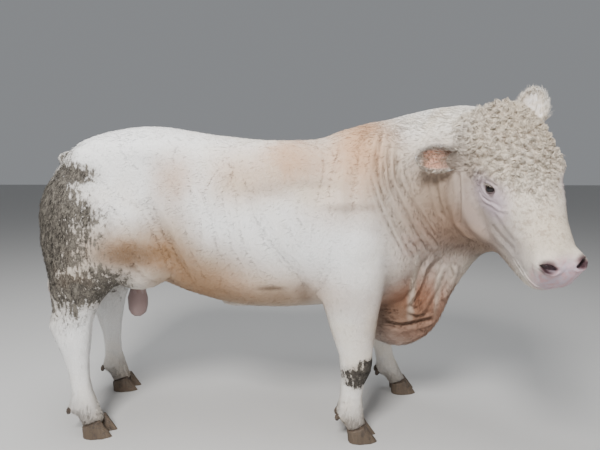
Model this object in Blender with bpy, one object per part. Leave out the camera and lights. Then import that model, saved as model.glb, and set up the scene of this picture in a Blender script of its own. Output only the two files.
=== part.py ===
"""A Charolais bull at life size, standing, with its head turned to its right.

Metres, +Z up. The back runs along X with the head at +X, the bull's left side is +Y,
and the hooves stand on z = 0. The flesh is modelled whole, from lofted trunk, neck,
head and legs with the large muscles laid on, fused into one skin, and then parted by
thin flat cuts. Tables below are measured from the middle of the trunk; the last step
moves the whole bull so that the origin lies under the middle of its box.
"""

import math
import random

import bmesh
import bpy
import numpy as np
from mathutils import Matrix, Vector

# Driving sizes
GAP = 0.0004
AHEAD = Vector((1, 0, 0))
LEFT = Vector((0, 1, 0))
UP = Vector((0, 0, 1))
HEAD_LENGTH = 0.605
HEAD_TABLE_LENGTH = 0.60
POLL = Vector((1.050, -0.480, 1.412))
HEAD_TURN = math.radians(73)
HEAD_DROP = math.radians(53)
HEAD_TILT = math.radians(14)
EYE_RADIUS = 0.021
FLESH_VOXEL = 0.0085
HEAD_VOXEL = 0.0045
SEED = 7

# Triangles kept in each part of the fused flesh
BODY_TRIANGLES = 5900
HEAD_TRIANGLES = 2400

COLOURS = {
    "coat": ((0.80, 0.74, 0.65), 0.85),
    "skin": ((0.72, 0.50, 0.45), 0.65),
    "horn": ((0.20, 0.16, 0.13), 0.45),
    "eye": ((0.02, 0.015, 0.012), 0.12),
    "hair": ((0.82, 0.77, 0.68), 0.9),
}

# Trunk: x, top z, bottom z, half width, z where it is widest, squareness above and below
TRUNK = (
    (-0.885, 1.13, 0.99, 0.040, 1.06, 2.0, 2.0),
    (-0.872, 1.215, 0.92, 0.115, 1.07, 2.0, 2.0),
    (-0.830, 1.310, 0.84, 0.200, 1.08, 2.1, 2.0),
    (-0.74, 1.385, 0.77, 0.258, 1.09, 2.3, 2.0),
    (-0.58, 1.425, 0.72, 0.285, 1.10, 2.5, 2.0),
    (-0.42, 1.440, 0.69, 0.292, 1.12, 2.6, 2.0),
    (-0.26, 1.420, 0.63, 0.305, 1.06, 2.6, 2.1),
    (-0.10, 1.395, 0.588, 0.330, 1.00, 2.5, 2.2),
    (0.05, 1.380, 0.568, 0.352, 0.97, 2.3, 2.2),
    (0.22, 1.373, 0.566, 0.362, 0.96, 2.2, 2.2),
    (0.37, 1.385, 0.575, 0.350, 0.97, 2.1, 2.1),
    (0.50, 1.430, 0.575, 0.335, 0.98, 2.0, 2.0),
    (0.64, 1.460, 0.560, 0.312, 0.98, 2.0, 2.0),
    (0.78, 1.440, 0.560, 0.262, 0.97, 2.0, 2.0),
    (0.90, 1.360, 0.620, 0.180, 0.96, 2.0, 2.0),
    (0.96, 1.200, 0.740, 0.070, 0.95, 2.0, 2.0),
)

# Neck: its path in plan, then along it: top z, bottom z, half width, widest z, squareness
NECK_PATH = ((0.50, 0.0), (0.82, 0.02), (1.04, -0.17), (1.05, -0.50))
NECK = (
    (0.00, 1.430, 0.62, 0.310, 1.02, 2.0, 2.0),
    (0.18, 1.462, 0.60, 0.300, 1.03, 2.0, 2.0),
    (0.36, 1.492, 0.64, 0.278, 1.05, 2.0, 1.8),
    (0.54, 1.510, 0.76, 0.252, 1.10, 2.1, 1.6),
    (0.70, 1.505, 0.86, 0.225, 1.14, 2.1, 1.7),
    (0.85, 1.475, 0.91, 0.198, 1.18, 2.1, 1.8),
    (1.00, 1.415, 0.95, 0.160, 1.20, 2.0, 2.0),
)
# Dewlap and brisket: along the neck's path, top z, bottom z, half width
DEWLAP = (
    (0.02, 0.76, 0.470, 0.118),
    (0.16, 0.76, 0.385, 0.112),
    (0.30, 0.78, 0.360, 0.105),
    (0.44, 0.84, 0.410, 0.086),
    (0.54, 0.90, 0.500, 0.074),
    (0.64, 0.96, 0.680, 0.060),
    (0.80, 1.02, 0.850, 0.050),
    (0.96, 1.08, 0.920, 0.042),
)

# Head, in its own axes: x from the poll to the muzzle, z out of the forehead.
# x, top z, bottom z, half width, z where it is widest, squareness above and below
HEAD = (
    (-0.10, 0.000, -0.22, 0.120, -0.11, 2.0, 2.0),
    (-0.03, 0.022, -0.27, 0.140, -0.11, 2.2, 2.1),
    (0.05, 0.036, -0.315, 0.150, -0.10, 2.6, 2.2),
    (0.14, 0.042, -0.350, 0.152, -0.09, 2.8, 2.5),
    (0.22, 0.038, -0.355, 0.143, -0.08, 2.8, 2.6),
    (0.30, 0.026, -0.346, 0.127, -0.08, 2.6, 2.6),
    (0.38, 0.013, -0.333, 0.108, -0.085, 2.4, 2.5),
    (0.45, 0.002, -0.312, 0.093, -0.09, 2.3, 2.3),
    (0.51, -0.006, -0.278, 0.085, -0.095, 2.3, 2.4),
    (0.56, -0.014, -0.236, 0.083, -0.10, 2.4, 2.5),
    (0.595, -0.034, -0.198, 0.073, -0.10, 2.4, 2.5),
    (0.612, -0.062, -0.158, 0.046, -0.105, 2.2, 2.2),
)

# Legs: x, y, z of the middle, half length fore and aft, half width.
# The tables are the right legs; a stance leans each leg forward from its top.
FORE_LEG = (
    (0.520, 0.215, 0.900, 0.150, 0.115),
    (0.514, 0.232, 0.800, 0.158, 0.114),
    (0.508, 0.240, 0.700, 0.146, 0.099),
    (0.510, 0.242, 0.610, 0.128, 0.085),
    (0.516, 0.242, 0.530, 0.110, 0.074),
    (0.522, 0.242, 0.450, 0.093, 0.066),
    (0.530, 0.242, 0.395, 0.081, 0.063),
    (0.533, 0.242, 0.345, 0.078, 0.067),
    (0.524, 0.242, 0.290, 0.064, 0.054),
    (0.516, 0.242, 0.240, 0.055, 0.047),
    (0.510, 0.242, 0.190, 0.055, 0.048),
    (0.508, 0.242, 0.145, 0.062, 0.057),
    (0.520, 0.242, 0.100, 0.051, 0.052),
    (0.536, 0.242, 0.060, 0.055, 0.056),
)
HIND_LEG = (
    (-0.630, 0.190, 1.080, 0.250, 0.115),
    (-0.635, 0.212, 0.960, 0.262, 0.118),
    (-0.640, 0.220, 0.850, 0.250, 0.112),
    (-0.680, 0.228, 0.760, 0.190, 0.096),
    (-0.728, 0.233, 0.680, 0.136, 0.080),
    (-0.752, 0.235, 0.600, 0.105, 0.066),
    (-0.768, 0.235, 0.540, 0.097, 0.060),
    (-0.772, 0.235, 0.480, 0.092, 0.060),
    (-0.764, 0.235, 0.420, 0.076, 0.053),
    (-0.758, 0.235, 0.360, 0.061, 0.046),
    (-0.750, 0.235, 0.290, 0.052, 0.041),
    (-0.742, 0.235, 0.210, 0.052, 0.041),
    (-0.735, 0.235, 0.155, 0.060, 0.052),
    (-0.712, 0.235, 0.105, 0.050, 0.049),
    (-0.692, 0.235, 0.062, 0.055, 0.055),
)
# Name: table, side, forward shift at the top, forward lean per metre below the lean height
STANCES = {
    "foreleg_right": (FORE_LEG, -1, 0.0, 0.0, 0.70),
    "foreleg_left": (FORE_LEG, 1, 0.045, 0.36, 0.70),
    "hindleg_right": (HIND_LEG, -1, 0.0, 0.0, 0.80),
    "hindleg_left": (HIND_LEG, 1, -0.015, -0.05, 0.80),
}

# Muscles and bony points laid on the trunk, on both sides: centre, radii, pitch in degrees
BODY_MASSES = (
    ((0.555, 0.190, 1.080), (0.160, 0.135, 0.350), 16),
    ((0.500, 0.215, 0.890), (0.210, 0.135, 0.210), 20),
    ((0.690, 0.160, 0.900), (0.160, 0.140, 0.200), -10),
    ((-0.668, 0.175, 1.010), (0.250, 0.155, 0.280), 0),
    ((-0.762, 0.145, 0.990), (0.140, 0.140, 0.270), 0),
    ((-0.530, 0.175, 0.980), (0.230, 0.140, 0.250), -12),
    ((-0.460, 0.175, 0.850), (0.170, 0.115, 0.180), 18),
    ((-0.400, 0.190, 1.295), (0.180, 0.095, 0.090), 4),
    ((-0.800, 0.095, 1.150), (0.100, 0.080, 0.130), 0),
    ((-0.580, 0.155, 1.250), (0.230, 0.140, 0.140), -6),
    ((0.150, 0.170, 1.180), (0.360, 0.165, 0.190), 0),
)
# Single masses on the middle line: centre, radii
MIDDLE_MASSES = (
    ((-0.840, 0.0, 1.290), (0.085, 0.055, 0.040)),
    ((-0.02, 0.0, 0.575), (0.120, 0.035, 0.030)),
    ((0.100, -0.100, 0.800), (0.300, 0.240, 0.200)),
)
# Head masses on both sides: centre, radii
HEAD_MASSES = (
    ((0.185, 0.096, -0.004), (0.100, 0.050, 0.038)),
    ((0.165, 0.090, -0.190), (0.150, 0.056, 0.130)),
    ((0.040, 0.108, -0.045), (0.090, 0.046, 0.065)),
    ((0.560, 0.046, -0.046), (0.048, 0.040, 0.036)),
    ((0.505, 0.052, -0.105), (0.070, 0.034, 0.048)),
)
# Head masses on the middle line
HEAD_MIDDLE_MASSES = (
    ((0.575, 0.0, -0.090), (0.046, 0.082, 0.050)),
    ((0.530, 0.0, -0.216), (0.058, 0.056, 0.034)),
    ((-0.010, 0.0, 0.012), (0.065, 0.100, 0.048)),
    ((0.110, 0.0, 0.008), (0.150, 0.125, 0.050)),
)

EYE = Vector((0.240, 0.1180, -0.049))
EAR_LENGTH = 0.195
EAR_WIDTH = 0.140
EAR_WALL = 0.006
# Each ear: side, root in the head's axes, then how far it is swept back, lifted and rolled, in degrees.
EARS = {
    "ear_right": (-1, Vector((0.072, 0.132, -0.104)), 12, 2, 32),
    "ear_left": (1, Vector((0.042, 0.110, -0.058)), 76, 32, -20),
}
# The middle of a nostril, the way it opens and the line it lies along
NOSTRIL = Vector((0.578, 0.056, -0.026))
NOSTRIL_AXIS = Vector((0.62, 0.36, 0.70)).normalized()
NOSTRIL_ALONG = Vector((-0.72, 0.66, 0.10)).normalized()
MOUTH = (
    (0.640, 0.000, -0.133),
    (0.600, 0.062, -0.137),
    (0.545, 0.086, -0.146),
    (0.468, 0.096, -0.160),
)

# Curls of the poll and forehead: rows from the nape down the face, and curls across each
CURL_ROWS = (4, 5, 6, 7, 6, 7, 6, 5)
CURL_SPACING = 0.0360
CURL_RADIUS = 0.0255

# Parting planes and boxes, in the tables' axes
NECK_CUT = (Vector((0.700, 0.0, 1.000)), Vector((0.94, -0.16, 0.30)))
HEAD_CUT = (Vector((-0.055, 0.0, 0.030)), Vector((0.91, 0.0, 0.41)))
HEAD_REACH = 0.42
FORE_BOX = ((0.300, 0.135, -0.10), (1.000, 0.480, 0.665))
HIND_BOX = ((-1.050, 0.062, -0.10), (-0.430, 0.480, 0.745))

# Claws: length at the sole, height at the toe and heel, width of one claw
CLAW_LENGTH = 0.135
CLAW_TOE_HEIGHT = 0.078
CLAW_HEEL_HEIGHT = 0.050
CLAW_WIDTH = 0.058
CLAW_SPREAD = 0.034
DEWCLAW = (0.020, 0.016, 0.034)

# Tail: x, y, z, radius
TAIL = (
    (-0.800, 0.000, 1.290, 0.048),
    (-0.850, -0.006, 1.264, 0.040),
    (-0.886, -0.016, 1.200, 0.031),
    (-0.908, -0.034, 1.080, 0.026),
    (-0.916, -0.052, 0.950, 0.022),
    (-0.914, -0.070, 0.840, 0.019),
    (-0.908, -0.082, 0.760, 0.016),
    (-0.904, -0.088, 0.700, 0.009),
)
SWITCH_LOCKS = 15
SWITCH_LENGTH = 0.20

SCROTUM = (
    (-0.545, 0.0, 0.745, 0.032),
    (-0.545, 0.0, 0.680, 0.036),
    (-0.548, 0.0, 0.610, 0.056),
    (-0.550, 0.0, 0.550, 0.062),
    (-0.550, 0.0, 0.505, 0.046),
    (-0.550, 0.0, 0.488, 0.018),
)

def clear_scene():
    """Removes every object, so that only the bull is left."""
    for obj in list(bpy.data.objects):
        bpy.data.objects.remove(obj, do_unlink=True)


def material(kind):
    """The Principled material of one kind of surface, made once."""
    found = bpy.data.materials.get(kind)
    if found:
        return found
    colour, roughness = COLOURS[kind]
    made = bpy.data.materials.new(kind)
    made.use_nodes = True
    shader = made.node_tree.nodes["Principled BSDF"]
    shader.inputs["Base Color"].default_value = (*colour, 1.0)
    shader.inputs["Roughness"].default_value = roughness
    shader.inputs["Metallic"].default_value = 0.0
    return made


def add_object(name, mesh, kind="coat"):
    """Links a mesh to the scene as an object with its material."""
    obj = bpy.data.objects.new(name, mesh)
    mesh.materials.clear()
    mesh.materials.append(material(kind))
    bpy.context.scene.collection.objects.link(obj)
    return obj


def object_from_bmesh(name, bm, kind="coat"):
    """Turns a bmesh into an object with outward normals."""
    bmesh.ops.recalc_face_normals(bm, faces=bm.faces)
    mesh = bpy.data.meshes.new(name)
    bm.to_mesh(mesh)
    bm.free()
    return add_object(name, mesh, kind)


def smooth_rows(rows, count):
    """Catmull-Rom curve through table rows, sampled evenly by row number."""
    table = np.array(rows, float)
    padded = np.vstack([2 * table[0] - table[1], table, 2 * table[-1] - table[-2]])
    places = np.linspace(0, len(table) - 1, count)
    out = []
    for place in places:
        i = min(int(place), len(table) - 2)
        t = place - i
        a, b, c, d = padded[i : i + 4]
        out.append(
            b
            + 0.5 * (c - a) * t
            + 0.5 * (2 * a - 5 * b + 4 * c - d) * t**2
            + 0.5 * (3 * b - a - 3 * c + d) * t**3
        )
    return out


def ring(middle, side, up, half_width, rise, drop, high_power=2.0, low_power=2.0, segments=28):
    """Points of a rounded ring, squarer as its powers grow, rise above and drop below its middle."""
    points = []
    for k in range(segments):
        angle = 2 * math.pi * k / segments
        c, s = math.cos(angle), math.sin(angle)
        power = high_power if s >= 0 else low_power
        across = half_width * math.copysign(abs(c) ** (2 / power), c)
        height = (rise if s >= 0 else drop) * math.copysign(abs(s) ** (2 / power), s)
        points.append(middle + side * across + up * height)
    return points


def loft(name, rings, kind="coat"):
    """A closed tube through rings of equal point counts."""
    bm = bmesh.new()
    loops = [[bm.verts.new(p) for p in points] for points in rings]
    for first, second in zip(loops, loops[1:]):
        for k in range(len(first)):
            n = (k + 1) % len(first)
            bm.faces.new((first[k], first[n], second[n], second[k]))
    bm.faces.new(loops[0])
    bm.faces.new(loops[-1])
    return object_from_bmesh(name, bm, kind)


def ellipsoid(name, centre, radii, turn=None, subdivisions=3, kind="coat"):
    """A closed ball stretched to three radii, turned and placed."""
    bm = bmesh.new()
    bmesh.ops.create_icosphere(bm, subdivisions=subdivisions, radius=1.0)
    matrix = Matrix.Translation(centre) @ (turn or Matrix.Identity(4)) @ Matrix.Diagonal((*radii, 1.0))
    bm.transform(matrix)
    return object_from_bmesh(name, bm, kind)


def placed(obj, matrix):
    """Moves an object's mesh, and keeps its faces outward where the matrix mirrors it."""
    obj.data.transform(matrix)
    if matrix.determinant() < 0:
        obj.data.flip_normals()
    return obj


def block(name, low, high):
    """A box between two corners, kept out of the render as a cutter."""
    bm = bmesh.new()
    bmesh.ops.create_cube(bm, size=1.0)
    size = Vector(high) - Vector(low)
    bm.transform(Matrix.Translation((Vector(high) + Vector(low)) / 2) @ Matrix.Diagonal((*size, 1.0)))
    return object_from_bmesh(name, bm)


def half_space(name, point, normal, reach=1.6):
    """A large box that fills the side of a plane that its normal points to."""
    turn = normal.to_track_quat("Z", "Y").to_matrix().to_4x4()
    cutter = block(name, (-reach, -reach, 0.0), (reach, reach, 2 * reach))
    cutter.data.transform(Matrix.Translation(point) @ turn)
    return cutter


def evaluated_mesh(obj):
    """A new mesh of the object with its modifiers applied."""
    graph = bpy.context.evaluated_depsgraph_get()
    return bpy.data.meshes.new_from_object(obj.evaluated_get(graph))


def apply_modifiers(obj):
    """Replaces the object's mesh by the one that its modifiers give."""
    mesh = evaluated_mesh(obj)
    obj.modifiers.clear()
    old = obj.data
    obj.data = mesh
    bpy.data.meshes.remove(old)
    return obj


def remove(*objects):
    """Deletes helpers that have done their work."""
    for obj in objects:
        bpy.data.objects.remove(obj, do_unlink=True)


def join(name, objects, kind="coat"):
    """One object that holds the faces of several, with the several removed."""
    bm = bmesh.new()
    for obj in objects:
        bm.from_mesh(obj.data)
    remove(*objects)
    return object_from_bmesh(name, bm, kind)


def fuse(name, objects, voxel, rounds):
    """Melts overlapping closed pieces into one skin and rounds its hollows."""
    obj = join(name, objects)
    remesh = obj.modifiers.new("fuse", "REMESH")
    remesh.mode = "VOXEL"
    remesh.voxel_size = voxel
    soften = obj.modifiers.new("soften", "SMOOTH")
    soften.factor = 0.5
    soften.iterations = rounds
    return apply_modifiers(obj)


def decimate(obj, triangles):
    """Brings a much finer mesh down to a number of triangles, fewest where it is flattest."""
    obj.data.calc_loop_triangles()
    share = triangles / len(obj.data.loop_triangles)
    if share < 0.5:
        modifier = obj.modifiers.new("thin", "DECIMATE")
        modifier.ratio = share
        apply_modifiers(obj)
    return keep_largest(obj)


def keep_largest(obj):
    """Keeps only the closed surface with the largest volume."""
    bm = bmesh.new()
    bm.from_mesh(obj.data)
    waiting = set(bm.faces)
    shells = []
    while waiting:
        stack = [waiting.pop()]
        shell = list(stack)
        while stack:
            for edge in stack.pop().edges:
                for face in edge.link_faces:
                    if face in waiting:
                        waiting.remove(face)
                        stack.append(face)
                        shell.append(face)
        shells.append(shell)

    def volume(shell):
        total = 0.0
        for face in shell:
            corners = [v.co for v in face.verts]
            for b, c in zip(corners[1:], corners[2:]):
                total += corners[0].dot(b.cross(c))
        return abs(total)

    shells.sort(key=volume, reverse=True)
    spare = [face for shell in shells[1:] for face in shell]
    bmesh.ops.delete(bm, geom=spare, context="FACES")
    bm.to_mesh(obj.data)
    bm.free()
    return obj


def grown(obj, distance=GAP):
    """A copy of the object a little larger all round, for a cut with clearance."""
    copy = bpy.data.objects.new(obj.name + "_grown", obj.data.copy())
    bpy.context.scene.collection.objects.link(copy)
    swell = copy.modifiers.new("swell", "DISPLACE")
    swell.strength = distance
    swell.mid_level = 0.0
    return apply_modifiers(copy)


def heal(obj, distance=1e-5):
    """Triangulates a cut surface and closes up the slivers that a cut leaves."""
    bm = bmesh.new()
    bm.from_mesh(obj.data)
    bmesh.ops.triangulate(bm, faces=bm.faces)
    bmesh.ops.dissolve_degenerate(bm, dist=distance, edges=bm.edges)
    bmesh.ops.remove_doubles(bm, verts=bm.verts, dist=distance)
    bmesh.ops.triangulate(bm, faces=bm.faces)
    bm.to_mesh(obj.data)
    bm.free()
    return obj


def boolean(obj, operation, other, solver="EXACT"):
    """Applies one Boolean with another object, or with a list of closed objects."""
    group = None
    modifier = obj.modifiers.new("cut", "BOOLEAN")
    modifier.operation = operation
    modifier.solver = solver
    if isinstance(other, list):
        group = bpy.data.collections.new("pieces")
        for piece in other:
            group.objects.link(piece)
        modifier.operand_type = "COLLECTION"
        modifier.collection = group
    else:
        modifier.object = other
    apply_modifiers(obj)
    if group:
        bpy.data.collections.remove(group)
    return heal(obj)


def part_off(flesh, name, region, region_grown):
    """Makes a node from the flesh inside a region, and leaves the rest with a thin gap."""
    piece = bpy.data.objects.new(name, flesh.data.copy())
    bpy.context.scene.collection.objects.link(piece)
    boolean(piece, "INTERSECT", region)
    boolean(flesh, "DIFFERENCE", region_grown)
    remove(region, region_grown)
    keep_largest(piece)
    keep_largest(flesh)
    return piece


def head_matrix():
    """Places the head's own axes, where x runs from the poll to the muzzle."""
    turn = Matrix.Rotation(-HEAD_TURN, 4, "Z") @ Matrix.Rotation(HEAD_DROP, 4, "Y")
    scale = HEAD_LENGTH / HEAD_TABLE_LENGTH
    tilt = Matrix.Rotation(HEAD_TILT, 4, "X")
    return Matrix.Translation(POLL) @ turn @ tilt @ Matrix.Scale(scale, 4)


def mirrored(point, side):
    """A point of the left side, moved to a side of -1 for right or 1 for left."""
    return Vector((point[0], side * point[1], point[2]))


def neck_place(share):
    """Plan position and heading of the neck's path, a cubic curve."""
    a, b, c, d = (Vector((*p, 0.0)) for p in NECK_PATH)
    s, r = share, 1 - share
    place = a * r**3 + b * 3 * r * r * s + c * 3 * r * s * s + d * s**3
    heading = (b - a) * 3 * r * r + (c - b) * 6 * r * s + (d - c) * 3 * s * s
    return place, heading.normalized()


def trunk():
    """The barrel, loin and rump, lofted along the back."""
    rings = []
    for x, top, bottom, width, widest, high, low in smooth_rows(TRUNK, 64):
        middle = Vector((x, 0.0, widest))
        rings.append(ring(middle, LEFT, UP, width, top - widest, widest - bottom, high, low, 40))
    return loft("trunk", rings)


def neck():
    """The crest and throat, lofted along the turning path."""
    rings = []
    for share, top, bottom, width, widest, high, low in smooth_rows(NECK, 36):
        place, heading = neck_place(share)
        side = Vector((heading.y, -heading.x, 0.0))
        middle = Vector((place.x, place.y, widest))
        rings.append(ring(middle, side, UP, width, top - widest, widest - bottom, high, low, 36))
    return loft("neck_core", rings)


def dewlap():
    """The fold of skin below the throat that runs down to the brisket."""
    rings = []
    for share, top, bottom, width in smooth_rows(DEWLAP, 30):
        place, heading = neck_place(share)
        side = Vector((heading.y, -heading.x, 0.0))
        middle = Vector((place.x, place.y, (top + bottom) / 2))
        half = (top - bottom) / 2
        rings.append(ring(middle, side, UP, width, half, half, 2.0, 1.8, 24))
    return loft("dewlap", rings)


def head_core():
    """The skull's outline from nape to muzzle with its masses, placed on the neck."""
    rings = []
    for x, top, bottom, width, widest, high, low in smooth_rows(HEAD, 44):
        middle = Vector((x, 0.0, widest))
        rings.append(ring(middle, LEFT, UP, width, top - widest, widest - bottom, high, low, 36))
    pieces = [loft("head_core", rings)]
    for side in (-1, 1):
        for centre, radii in HEAD_MASSES:
            pieces.append(ellipsoid("mass", mirrored(centre, side), radii))
    for centre, radii in HEAD_MIDDLE_MASSES:
        pieces.append(ellipsoid("mass", Vector(centre), radii))
    return [placed(piece, head_matrix()) for piece in pieces]


def leg_middle(stance, row):
    """The middle of a leg at one row of its table, leant as its stance says."""
    _, side, shift, lean, pivot = stance
    x, y, z = row[:3]
    return Vector((x + shift + lean * max(0.0, pivot - z), side * y, z))


def leg(name):
    """One leg from the body to the coronet, with its bony points and two short toes."""
    stance = STANCES[name]
    table, side = stance[0], stance[1]
    rings = []
    for row in smooth_rows(table, 64):
        rings.append(ring(leg_middle(stance, row), AHEAD, LEFT, row[3], row[4], row[4], 2.2, 2.2, 24))
    pieces = [loft(name + "_core", rings)]
    if table is HIND_LEG:
        heel = leg_middle(stance, (-0.855, 0.235, 0.520))
        pieces.append(ellipsoid("hock", heel, (0.030, 0.030, 0.055)))
        tendon = leg_middle(stance, (-0.838, 0.235, 0.610))
        pieces.append(ellipsoid("tendon", tendon, (0.026, 0.026, 0.110)))
    else:
        elbow = leg_middle(stance, (0.400, 0.250, 0.700))
        pieces.append(ellipsoid("elbow", elbow, (0.050, 0.040, 0.065)))
    coronet = leg_middle(stance, table[-1])
    for toe in (-1, 1):
        centre = coronet + Vector((-0.004, toe * CLAW_SPREAD * 0.92, -0.006))
        pieces.append(ellipsoid("toe", centre, (0.048, 0.026, 0.040)))
    return pieces


def body_masses():
    """The large muscles and bony points of the trunk."""
    pieces = []
    for side in (-1, 1):
        for centre, radii, pitch in BODY_MASSES:
            turn = Matrix.Rotation(math.radians(pitch), 4, "Y")
            pieces.append(ellipsoid("mass", mirrored(centre, side), radii, turn))
    for centre, radii in MIDDLE_MASSES:
        pieces.append(ellipsoid("mass", Vector(centre), radii))
    return pieces


def claw(name, coronet, toe):
    """One horn claw: a flat sole, a steep toe wall and a low heel, straight on its inner side."""
    sole_front = CLAW_LENGTH * 0.62
    sole_back = CLAW_LENGTH * 0.38
    rows = 4
    rings = []
    for k in range(rows):
        rise = k / (rows - 1)
        front = sole_front - rise * CLAW_TOE_HEIGHT * 0.72
        back = sole_back + rise * 0.004
        outer = CLAW_WIDTH * (1.0 - 0.10 * rise)
        points = []
        for j in range(12):
            angle = 2 * math.pi * j / 12
            c, s = math.cos(angle), math.sin(angle)
            x = (front if c > 0 else back) * math.copysign(abs(c) ** 0.8, c)
            taper = 1.0 - 0.45 * max(0.0, c) ** 2
            y = outer * taper * (0.62 * s if s > 0 else 0.38 * s) * (abs(s) ** -0.15 if s else 1)
            height = CLAW_HEEL_HEIGHT + (CLAW_TOE_HEIGHT - CLAW_HEEL_HEIGHT) * (x + back) / (front + back)
            across = coronet.y + toe * (CLAW_SPREAD - 0.004 + y)
            points.append(Vector((coronet.x + 0.012 + x, across, height * rise)))
        rings.append(points)
    return loft(name, rings, "horn")


def dewclaw(name, fetlock, toe):
    """A small blunt horn behind the fetlock."""
    back, width, length = DEWCLAW
    rings = []
    for share, size in ((0.0, 0.75), (0.3, 1.0), (0.7, 0.85), (1.0, 0.35)):
        middle = fetlock + Vector((-0.052 - 0.012 * share, toe * 0.030, -0.012 - length * share))
        half = width * size
        rings.append(ring(middle, AHEAD, LEFT, back * size * 0.8, half, half, segments=6))
    return loft(name, rings, "horn")


def ear(name, side, root, swept, lifted, rolled):
    """A cupped leaf, rolled at its root, that opens forwards and outwards."""
    along_steps, across_steps = 9, 6
    bm = bmesh.new()
    grid = []
    for i in range(along_steps + 1):
        t = i / along_steps
        width = EAR_WIDTH * (0.30 + 0.70 * math.sin(math.pi * min(1.0, 0.16 + 0.62 * t)) ** 1.2)
        width *= (1.0 - t**5) ** 0.5 if t < 1 else 0.0
        width = max(width, 0.010)
        curl = math.radians(250 - 150 * min(1.0, t * 1.6))
        radius = width / curl
        row = []
        for j in range(across_steps + 1):
            angle = curl * (j / across_steps - 0.5)
            out = EAR_LENGTH * t
            x = radius * math.sin(angle)
            z = radius * (math.cos(angle) - 1.0) + radius * 0.5
            row.append(bm.verts.new((x, out, -z - 0.030 * t * t)))
        grid.append(row)
    for i in range(along_steps):
        for j in range(across_steps):
            a, b, c, d = grid[i][j], grid[i][j + 1], grid[i + 1][j + 1], grid[i + 1][j]
            bm.faces.new((a, b, c))
            bm.faces.new((a, c, d))
    mesh = bpy.data.meshes.new(name)
    bm.to_mesh(mesh)
    bm.free()
    obj = add_object(name, mesh)
    wall = obj.modifiers.new("wall", "SOLIDIFY")
    wall.thickness = EAR_WALL
    wall.offset = 0.0
    apply_modifiers(obj)
    # The leaf's own y runs out from the head, its x across and its open side to +z.
    sweep = Matrix.Rotation(math.radians(swept), 4, "Z") @ Matrix.Rotation(math.radians(lifted), 4, "X")
    roll = Matrix.Rotation(math.radians(rolled), 4, "Y")
    place = Matrix.Translation(root) @ sweep @ roll
    if side < 0:
        place = Matrix.Diagonal((1, -1, 1, 1)) @ place
    return placed(obj, head_matrix() @ place)


def lid_rim(side):
    """The almond rim of the lids, a closed band round the eye."""
    steps, sides = 14, 5
    half_length, half_height, thick = 0.027, 0.0165, 0.0065
    bm = bmesh.new()
    loops = []
    for k in range(steps):
        angle = 2 * math.pi * k / steps
        along = half_length * math.cos(angle)
        high = half_height * math.sin(angle) * (1 - 0.25 * math.cos(angle) ** 2)
        bulge = math.sqrt(max(0.0, (EYE_RADIUS + 0.004) ** 2 - along**2 * 0.55 - high**2))
        centre = Vector((along, bulge - 0.0015, high))
        outward = Vector((math.cos(angle), 0.0, math.sin(angle)))
        loop = []
        for m in range(sides):
            turn = 2 * math.pi * m / sides
            offset = outward * math.cos(turn) * thick + Vector((0, 1, 0)) * math.sin(turn) * thick * 0.8
            loop.append(bm.verts.new(centre + offset))
        loops.append(loop)
    for k in range(steps):
        first, second = loops[k], loops[(k + 1) % steps]
        for m in range(sides):
            n = (m + 1) % sides
            bm.faces.new((first[m], first[n], second[n], second[m]))
    return placed(object_from_bmesh("lid_rim", bm), eye_matrix(side))


def eye_matrix(side):
    """Places an eye's own axes on the head, with y looking out."""
    turn = Matrix.Rotation(math.radians(-22), 4, "Z") @ Matrix.Rotation(math.radians(16), 4, "X")
    tip = Matrix.Rotation(math.radians(-26), 4, "Y")
    place = Matrix.Translation(EYE) @ turn @ tip
    if side < 0:
        place = Matrix.Diagonal((1, -1, 1, 1)) @ place
    unit = Matrix.Scale(HEAD_TABLE_LENGTH / HEAD_LENGTH, 4)
    return head_matrix() @ place @ unit


def eyeball(name, side):
    """The ball of the eye, sunk so that its front stands just behind the lids."""
    ball = ellipsoid(name, Vector((0, 0, 0)), (EYE_RADIUS,) * 3, None, 2, "eye")
    return placed(ball, eye_matrix(side))


def eye_opening(side):
    """A cutter the shape of the open lids."""
    rings = []
    for depth, grow in ((0.0, 0.55), (0.016, 0.85), (0.030, 1.15), (0.050, 1.6)):
        points = []
        for k in range(14):
            angle = 2 * math.pi * k / 14
            along = 0.0225 * grow * math.cos(angle)
            high = 0.0125 * grow * math.sin(angle) * (1 - 0.25 * math.cos(angle) ** 2)
            points.append(Vector((along, depth, high)))
        rings.append(points)
    return placed(loft("eye_opening", rings), eye_matrix(side))


def nostril_cutter(side):
    """A comma-shaped hollow that runs back into the muzzle."""
    low = NOSTRIL_AXIS.cross(NOSTRIL_ALONG).normalized()
    rings = []
    for share in (0.0, 0.35, 0.7, 1.0):
        middle = NOSTRIL + NOSTRIL_AXIS * (0.026 - 0.056 * share)
        size = 1.0 - 0.50 * share
        points = []
        for k in range(12):
            angle = 2 * math.pi * k / 12
            along = 0.028 * size * math.cos(angle)
            across = 0.014 * size * math.sin(angle) - 0.009 * size * math.cos(angle) ** 2
            points.append(mirrored(middle + NOSTRIL_ALONG * along + low * across, side))
        rings.append(points)
    return placed(loft("nostril_cutter", rings), head_matrix())


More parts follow.
